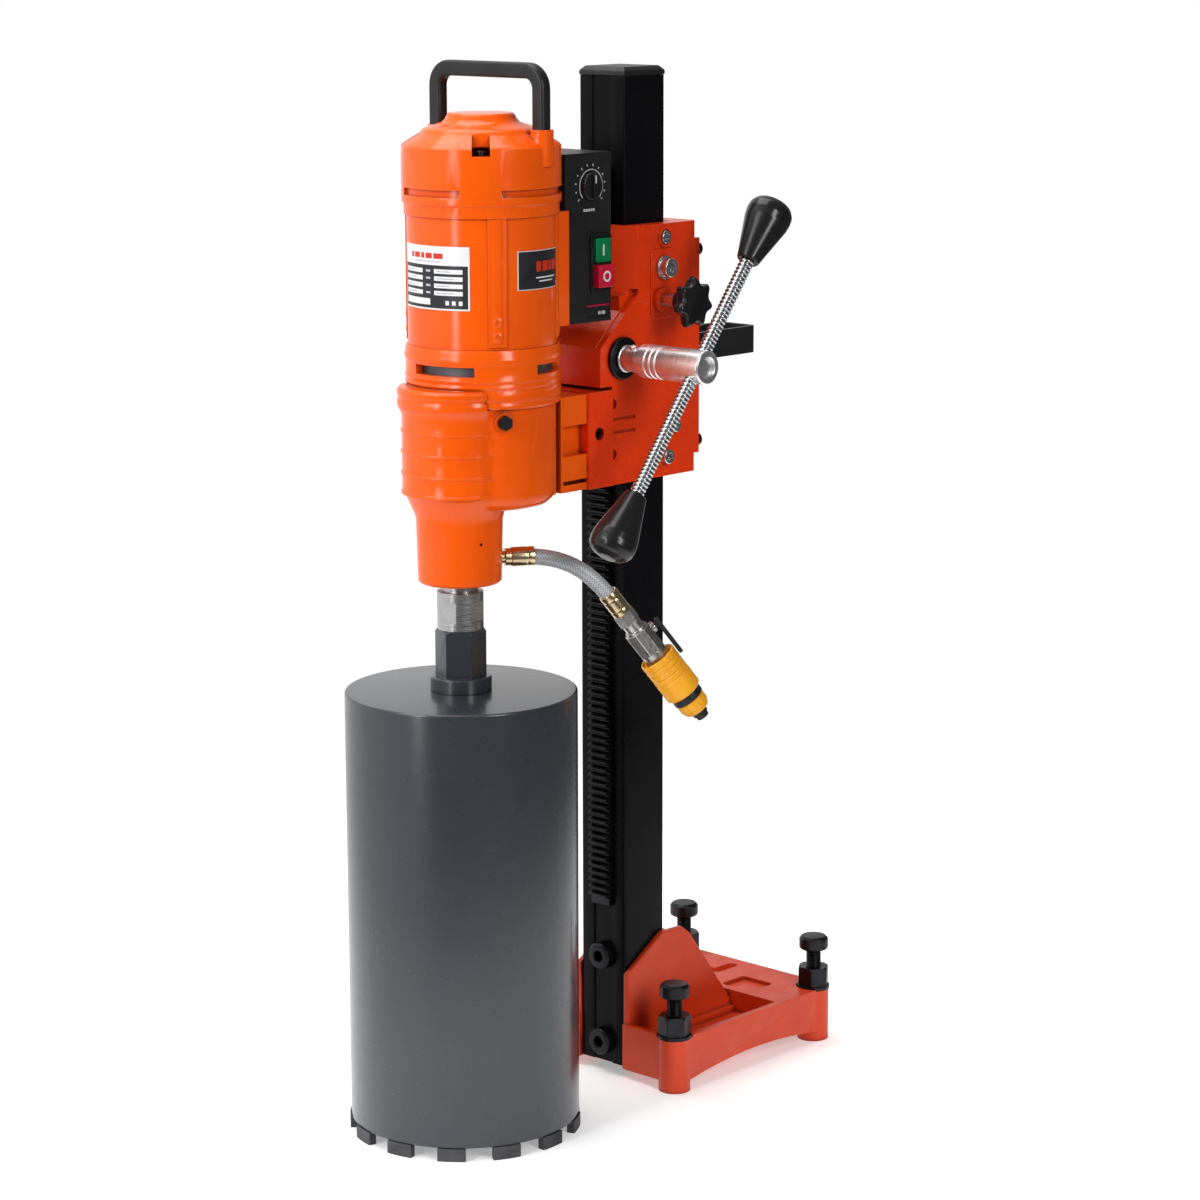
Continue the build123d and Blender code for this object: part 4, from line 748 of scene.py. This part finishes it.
def lock_knob():
    bm = bmesh.new()
    outline = rounded([
        (0, 96.2), (9, 96.2, 2), (13.0, 97.0, 3), (20.2, 97.0, 2.6), (22.4, 93.8, 2), (22.4, 88.0, 2),
        (20.4, 85.2, 2.4), (13.6, 84.6, 3), (13.4, 76.0, 1), (12.2, 74.2, 0.6), (0, 74.2),
    ], 6)

    def lobes(turn, r, z):
        share = max(0.0, min(1.0, (r - 13.6) / 8.8))
        return share * (3.3 * math.cos(7 * turn) + 0.5 * math.cos(14 * turn) - 0.4)

    lathe(bm, outline, along_x(0, *KNOB_AT), 168, lobes)
    redraw("lock_knob", bm, smooth=60)


# ---------------------------------------------------------------- the drill

def top_handle():
    bm = bmesh.new()
    line = rounded([(-68.7, 984.0), (-68.7, 1038.5, 17), (68.7, 1038.5, 17), (68.7, 984.0)], 10)
    section = rectangle(15, 15, 6.2)
    sweep(bm, [(x, -187.0, z) for x, z in line], section, (0, 1, 0))
    redraw("top_handle", bm, smooth=50)


def barrel():
    bm = bmesh.new()
    outline = rounded([
        (109.5, 13), (112.9, 13.0, 0.4), (113.5, 13.6, 0.4), (113.5, 443.0, 2.2), (9, 443.0), (9, 435),
        (109.5, 435, 2), (109.5, 13),
    ], 6)
    lathe(bm, outline, at(0, SPINDLE_Y, 0), 256)
    redraw("core_barrel", bm, smooth=34)


def motor_ribs():
    """Cast ribs down the motor's body, with two screw bosses low on each."""
    bm = bmesh.new()
    section = [
        (0.0, -6.4), (2.0, -6.2), (3.1, -4.6), (3.5, -2.0), (3.5, 2.0), (3.1, 4.6), (2.0, 6.2), (0.0, 6.4)
    ]
    boss = rounded([(0, 0), (5.6, 0), (4.6, 2.6, 1.0), (2.4, 3.2, 0.4), (2.0, 2.0), (0, 2.0)], 4)
    for turn in (-34.0, 34.0, -146.0):
        a = math.radians(turn)
        out = Vector((math.cos(a), math.sin(a), 0))
        foot = Vector((0, MOTOR_Y, 786.0)) + out * (MOTOR_R - 1.6)
        prism(bm, section, 0, 117, along(foot, (0, 0, 1), out))
        for z in (792.0, 806.0):
            lathe(bm, boss, along(Vector((0, MOTOR_Y, z)) + out * (MOTOR_R - 0.4), out, (0, 0, 1)), 28)
    new_piece("motor_ribs", bm, "carriage", "orange_paint", smooth=40)


def on_motor(bm, low_turn, high_turn, z_low, z_high, under, over):
    """A patch on the motor's body; under and over are its two faces' distances out from the paint."""
    place = at(0, MOTOR_Y, 0)
    arc_patch(bm, place, low_turn, high_turn, z_low, z_high, MOTOR_R + under, MOTOR_R + over)


def motor_prints():
    """The rating plate and the badge, with a made-up mark and bars for the print."""
    white = bmesh.new()
    on_motor(white, -126, -54.6, 817, 877, -0.2, 0.5)
    redraw("rating_plates", white, name="rating_plates_white")
    black = bmesh.new()
    on_motor(black, -124.6, -56.0, 818.6, 859, 0.3, 0.58)
    on_motor(black, -17.2, 35.2, 835.7, 871.3, 0.3, 0.62)
    new_piece("plate_black_print", black, "carriage", "black_plastic", material="print_black")
    border = bmesh.new()
    on_motor(border, -18, 36, 835, 872, -0.2, 0.5)
    new_piece("badge_border", border, "carriage", "label")
    line_height = 6.8
    cells = bmesh.new()
    for row in range(4):
        z = 855.5 - line_height * row
        on_motor(cells, -121.0, -96.0, z - 4.2, z, 0.4, 0.66)
        on_motor(cells, -84.0, -60.0, z - 4.2, z, 0.4, 0.66)
    on_motor(cells, -121.0, -88.0, 821.5, 827.5, 0.4, 0.66)
    for k in range(3):
        on_motor(cells, -74.0 + 5.4 * k, -71.0 + 5.4 * k, 822.0, 826.0, 0.4, 0.66)
    for k, (low, high) in enumerate(((-1.0, 24.0), (2.5, 20.5))):
        on_motor(cells, low, high, 845.4 - 3.4 * k, 846.7 - 3.4 * k, 0.5, 0.7)
    on_motor(cells, 28.0, 33.0, 838.0, 840.0, 0.5, 0.7)
    new_piece("plate_cells", cells, "carriage", "label")
    grey = bmesh.new()
    for row in range(4):
        z = 852.6 - line_height * row
        on_motor(grey, -92.2, -87.6, z, z + 2.0, 0.4, 0.66)
        for low in (-119, -82):
            on_motor(grey, low, low + 12 + 3 * (row % 2), z + 0.2, z + 1.4, 0.5, 0.7)
    on_motor(grey, -106.0, -78.0, 862.0, 863.0, 0.4, 0.6)
    new_piece("plate_small_print", grey, "carriage", "label", material="print_grey")
    mark = bmesh.new()
    for low, high in ((-111, -107.5), (-106, -99), (-97.5, -94), (-92.5, -86), (-84.5, -76)):
        on_motor(mark, low, high, 865.3, 870.3, 0.4, 0.62)
    for low, high in ((-0.5, 4.5), (6.5, 13.0), (14.5, 18.0), (19.5, 26.0)):
        on_motor(mark, low, high, 852, 861.5, 0.5, 0.7)
    new_piece("plate_mark", mark, "carriage", "red_plastic", material="print_red")


# ---------------------------------------------------------------- the switch box

def switch_prints():
    """The dial's scale and the panel's lettering, as plain bars."""
    dial = along_x(0, *DIAL_AT)
    bm = bmesh.new()
    arc_patch(bm, dial, -132, 132, 48.4, 48.9, 15.6, 16.7)
    ticks = 12
    for k in range(ticks):
        a = math.radians(-128 + 256 * k / (ticks - 1))
        spot = dial @ Matrix.Rotation(a, 4, "Z") @ at(20.6, 0, 0)
        prism(bm, rectangle(2.0 + 0.5 * (k % 2), 1.5, 0.6), 47.3, 47.75, spot)
    for y, width in ((-106.5, 2.4), (-103.2, 3.0), (-99.6, 3.0), (-96.0, 2.6), (-92.8, 2.6)):
        prism(bm, rectangle(2.6, width, 0.5), 47.0, 47.7, along_x(0, y, 902.0))
    for y, width in ((-83.0, 4.0), (-77.5, 5.0)):
        prism(bm, rectangle(3.4, width, 1.0), 45.3, 45.8, along_x(0, y, 801.0))
    new_piece("switch_print", bm, "carriage", "label", material="print_grey")
    line = bmesh.new()
    prism(line, rectangle(1.3, 34, 0.5), 45.3, 45.75, along_x(0, -86.5, 808.5))
    new_piece("switch_line", line, "carriage", "red_plastic")


def switch_bezel():
    """The button module's raised rim around both buttons."""
    bm = bmesh.new()
    place = along_x(0, -81.7, 849.8)
    back, front = 45.0, 46.9
    outer = rectangle(58.0, 29.4, 3.0)
    inner = rectangle(50.6, 24.5, 2.2, 0, -0.95)
    rings = []
    for outline, x in ((outer, back), (outer, front), (inner, front), (inner, back)):
        rings.append([bm.verts.new(place @ Vector((a, b, x))) for a, b in outline])
    for ring, other in zip(rings, rings[1:] + rings[:1]):
        for k in range(len(ring)):
            n = (k + 1) % len(ring)
            bm.faces.new((ring[k], ring[n], other[n], other[k]))
    new_piece("switch_bezel", bm, "carriage", "gloss_plastic", bevel=0.5, segments=3)


def speed_dial():
    outline = rounded([
        (0, 38), (4.2, 38), (4.2, 47.7), (13.2, 47.8, 0.5), (13.9, 49.0, 0.6), (12.8, 52.4, 1.4), (0, 52.8)
    ])

    def knurl(turn, r, z):
        return 0.25 * math.cos(24 * turn) if r > 12.5 else 0.0

    y, z = DIAL_AT
    bm = bmesh.new()
    lathe(bm, outline, along_x(0, y, z), 96, knurl)
    redraw("speed_dial", bm, smooth=50)
    bar = bmesh.new()
    prism(bar, rectangle(24.5, 5.6, 2.4), 50, 55.5, along_x(0, y, z))
    new_piece("speed_dial_bar", bar, "dial", "gloss_plastic", smooth=40, bevel=0.8, segments=3)
    pointer = bmesh.new()
    prism(pointer, rectangle(7.5, 1.5, 0.5), 55.3, 55.62, along_x(0, y, z + 7))
    new_piece("speed_dial_pointer", pointer, "dial", "label")


def push_buttons():
    green = bmesh.new()
    prism(green, rectangle(23.4, 20.9, 1.5), 41.0, 47.9, along_x(0, *START_AT))
    redraw("start_button", green, bevel=0.7, segments=3)
    bar = bmesh.new()
    prism(bar, rectangle(11.0, 2.2, 0.6), 47.6, 48.05, along_x(0, *START_AT))
    new_piece("start_mark", bar, "start", "label")
    red = bmesh.new()
    prism(red, rectangle(22.0, 22.0, 2.0), 41.0, 54.0, along_x(0, *STOP_AT))
    redraw("stop_button", red, bevel=1.6, segments=4)
    ring = bmesh.new()
    arc_patch(ring, along_x(0, *STOP_AT), 0, 359.9, 53.7, 54.15, 3.4, 5.4)
    new_piece("stop_mark", ring, "stop", "label")


# ---------------------------------------------------------------- the water hose

HOSE_POINTS = (
    (28.0, -191.875, NIPPLE_Z),
    (44.8, -167.02, NIPPLE_Z),
    (63.97, -138.65, 560.58),
    (79.42, -115.81, 537.44),
    (90.54, -99.35, 511.08),
)
# the way the hose leaves the nipple, the level direction across it, and the way its far end points
HOSE_WAY = (0.56, 0.8285, 0.0)
HOSE_SIDE = (0.8285, -0.56, 0.0)
END_AXIS = (0.33702, 0.49860, -0.79864)
END_UP = (0.44724, 0.66167, 0.60182)
NEAR_PLACE = along((0, SPINDLE_Y, NIPPLE_Z), HOSE_WAY, (0, 0, 1))
END_PLACE = along(HOSE_POINTS[-1], END_AXIS, END_UP)


def hose_line():
    """The points that the hose follows, in frame metres, read from one smooth spline."""
    data = bpy.data.curves.new("hose_line", "CURVE")
    data.dimensions = "3D"
    spline = data.splines.new("NURBS")
    spline.points.add(len(HOSE_POINTS) - 1)
    for point, place in zip(spline.points, HOSE_POINTS):
        point.co = (*(TO_FRAME @ Vector(place)), 1.0)
    spline.order_u = 3
    spline.use_endpoint_u = True
    spline.resolution_u = 48
    obj = bpy.data.objects.new("hose_line", data)
    bpy.context.scene.collection.objects.link(obj)
    mesh = bpy.data.meshes.new_from_object(obj)
    line = [v.co.copy() for v in mesh.vertices]
    bpy.data.objects.remove(obj)
    bpy.data.curves.remove(data)
    bpy.data.meshes.remove(mesh)
    return line


def hose(fittings):
    """The hose, whose woven sleeve is six strands each way, crossing over and under."""
    line = hose_line()
    to_drawing = TO_FRAME.inverted()
    path = [to_drawing @ p for p in line]
    sides = 72
    strands, twist = 6, 1.05
    valley, weave = 7.55, 0.42
    bm = bmesh.new()
    rings = []
    run = 0.0
    for i, point in enumerate(path):
        if i:
            run += (point - path[i - 1]).length
        before = path[max(i - 1, 0)]
        after = path[min(i + 1, len(path) - 1)]
        place = along(point, after - before, HOSE_SIDE)
        ring = []
        for k in range(sides):
            a = 2 * math.pi * k / sides
            left = strands * a + run * twist
            right = strands * a - run * twist
            over = math.cos(left) if math.sin(left) * math.sin(right) > 0 else math.cos(right)
            r = valley + weave * abs(over) ** 0.6
            ring.append(bm.verts.new(place @ Vector((r * math.cos(a), r * math.sin(a), 0))))
        rings.append(ring)
    for a, b in zip(rings, rings[1:]):
        for k in range(sides):
            n = (k + 1) % sides
            bm.faces.new((a[k], a[n], b[n], b[k]))
    bm.faces.new(list(reversed(rings[0])))
    bm.faces.new(rings[-1])
    tube = redraw("water_hose", bm, name="water_hose_braid", smooth=180)


def crimped(low, high, r, grooves):
    """A ferrule's outline, from its 8.2 mm bore out, with a shallow crimp at each groove."""
    outline = [(8.2, low), (r, low, 0.6)]
    for z in grooves:
        outline += [(r, z - 1.6, 0.8), (r - 0.3, z, 1.2), (r, z + 1.6, 0.8)]
    return rounded(outline + [(r, high, 0.6), (8.2, high), (8.2, low)], 4)


def valve_and_coupling():
    """The hexagon coupling, the shut-off valve and its lever."""
    coupling = bmesh.new()
    prism(coupling, polygon(11.0, 6), 0.1, 13, END_PLACE)
    lathe(coupling, [(0, 12.5), (9.6, 12.5), (9.6, 20.7), (0, 20.7)], END_PLACE, 48)
    valve = bmesh.new()
    lathe(valve, rounded([(0, 20.7), (11.5, 20.7, 0.6), (11.5, 24.0), (0, 24.0)], 3), END_PLACE, 56)
    prism(valve, polygon(14.0, 8, math.radians(22.5)), 23.5, 50, END_PLACE)
    lathe(valve, rounded([(0, 49), (13.2, 49), (13.2, 62.4, 0.6), (0, 62.4)], 3), END_PLACE, 56)
    boss = along(END_PLACE @ Vector((12.5, 0, 31.0)), END_UP, END_AXIS)
    lathe(valve, rounded([(0, 0), (6, 0), (6, 4.5, 0.6), (0, 4.5)], 3), boss, 40)
    lever = bmesh.new()
    stem = along(END_PLACE @ Vector((0, 0, 31.0)), END_UP, END_AXIS)
    lathe(lever, [(0, 17.1), (3.4, 17.1), (3.4, 21.0), (0, 21.0)], stem, 28)
    prism(lever, rectangle(45, 9, 4.4), 20.2, 24.2, along(END_PLACE @ Vector((0, 0, 48.0)), END_UP, END_AXIS))
    return [
        redraw("hose_coupling", coupling, bevel=0.5),
        redraw("valve_body", valve, bevel=0.9, segments=3),
        redraw("valve_lever", lever, bevel=1.2, segments=3),
    ]


def connector():
    """The push-fit connector: sliding collar, body and nut."""
    def collar_knurl(turn, r, z):
        return 0.18 * math.cos(40 * turn) if r > 18.8 and 84 < z < 101 else 0.0

    def nut_knurl(turn, r, z):
        return 0.22 * math.cos(18 * turn) if r > 14.5 else 0.0

    collar = bmesh.new()
    outline = [(13.5, 60.0), (16.4, 60.0, 0.5), (16.9, 57.6, 0.4), (18.2, 57.0, 0.5), (19.0, 58.2, 0.6)]
    for z in (64, 70, 76, 82):
        outline += [(19.0, z - 0.4, 0.3), (18.4, z + 0.3, 0.3), (18.4, z + 1.3, 0.3), (19.0, z + 2.0, 0.3)]
    outline += [(19.0, 102.4, 1.4), (17.0, 104.6, 1.0), (13.5, 104.6), (13.5, 60.0)]
    lathe(collar, rounded(outline, 3), END_PLACE, 96, collar_knurl)
    body = bmesh.new()
    outline = [(0, 62.5), (13.1, 62.5), (13.1, 105.1), (16, 105.1, 0.6), (16, 112.3, 0.6), (8, 112.3)]
    outline += [(8, 132.4), (6.5, 132.8, 0.4), (6.5, 137.0, 0.8), (4.0, 137.0), (4.0, 120.0), (0, 120.0)]
    lathe(body, rounded(outline, 4), END_PLACE, 64)
    nut = bmesh.new()
    outline = [(8.1, 112.5), (15.0, 112.5, 1.0), (15.0, 121.0, 3), (12.4, 127.6, 2.4), (8.1, 127.6)]
    lathe(nut, rounded(outline + [(8.1, 112.5)], 5), END_PLACE, 90, nut_knurl)
    return [
        redraw("connector_collar", collar, smooth=34),
        redraw("connector_body", body, smooth=34),
        redraw("connector_nut", nut, smooth=40),
    ]


def hose_fittings():
    ferrules = bmesh.new()
    lathe(ferrules, crimped(50.2, 73, 9.6, (66,)), NEAR_PLACE, 56)
    lathe(ferrules, crimped(-25, 0, 10.0, (-18, -6)), END_PLACE, 56)
    return [redraw("hose_ferrules", ferrules, smooth=34)] + valve_and_coupling() + connector()


# ---------------------------------------------------------------- everything in its place

camera()
studio()
make_materials()
floor()
finish_cad_nodes()
hose(hose_fittings())
column()
leveling_screws()
column_bolts()
crank_rod()
crank_grips()
crank_hub()
carriage_land()
lock_knob()
top_handle()
barrel()
motor_ribs()
motor_prints()
switch_prints()
switch_bezel()
speed_dial()
push_buttons()
for node, bevel, material in FINE_NODES:
    fine(node, bevel, material)
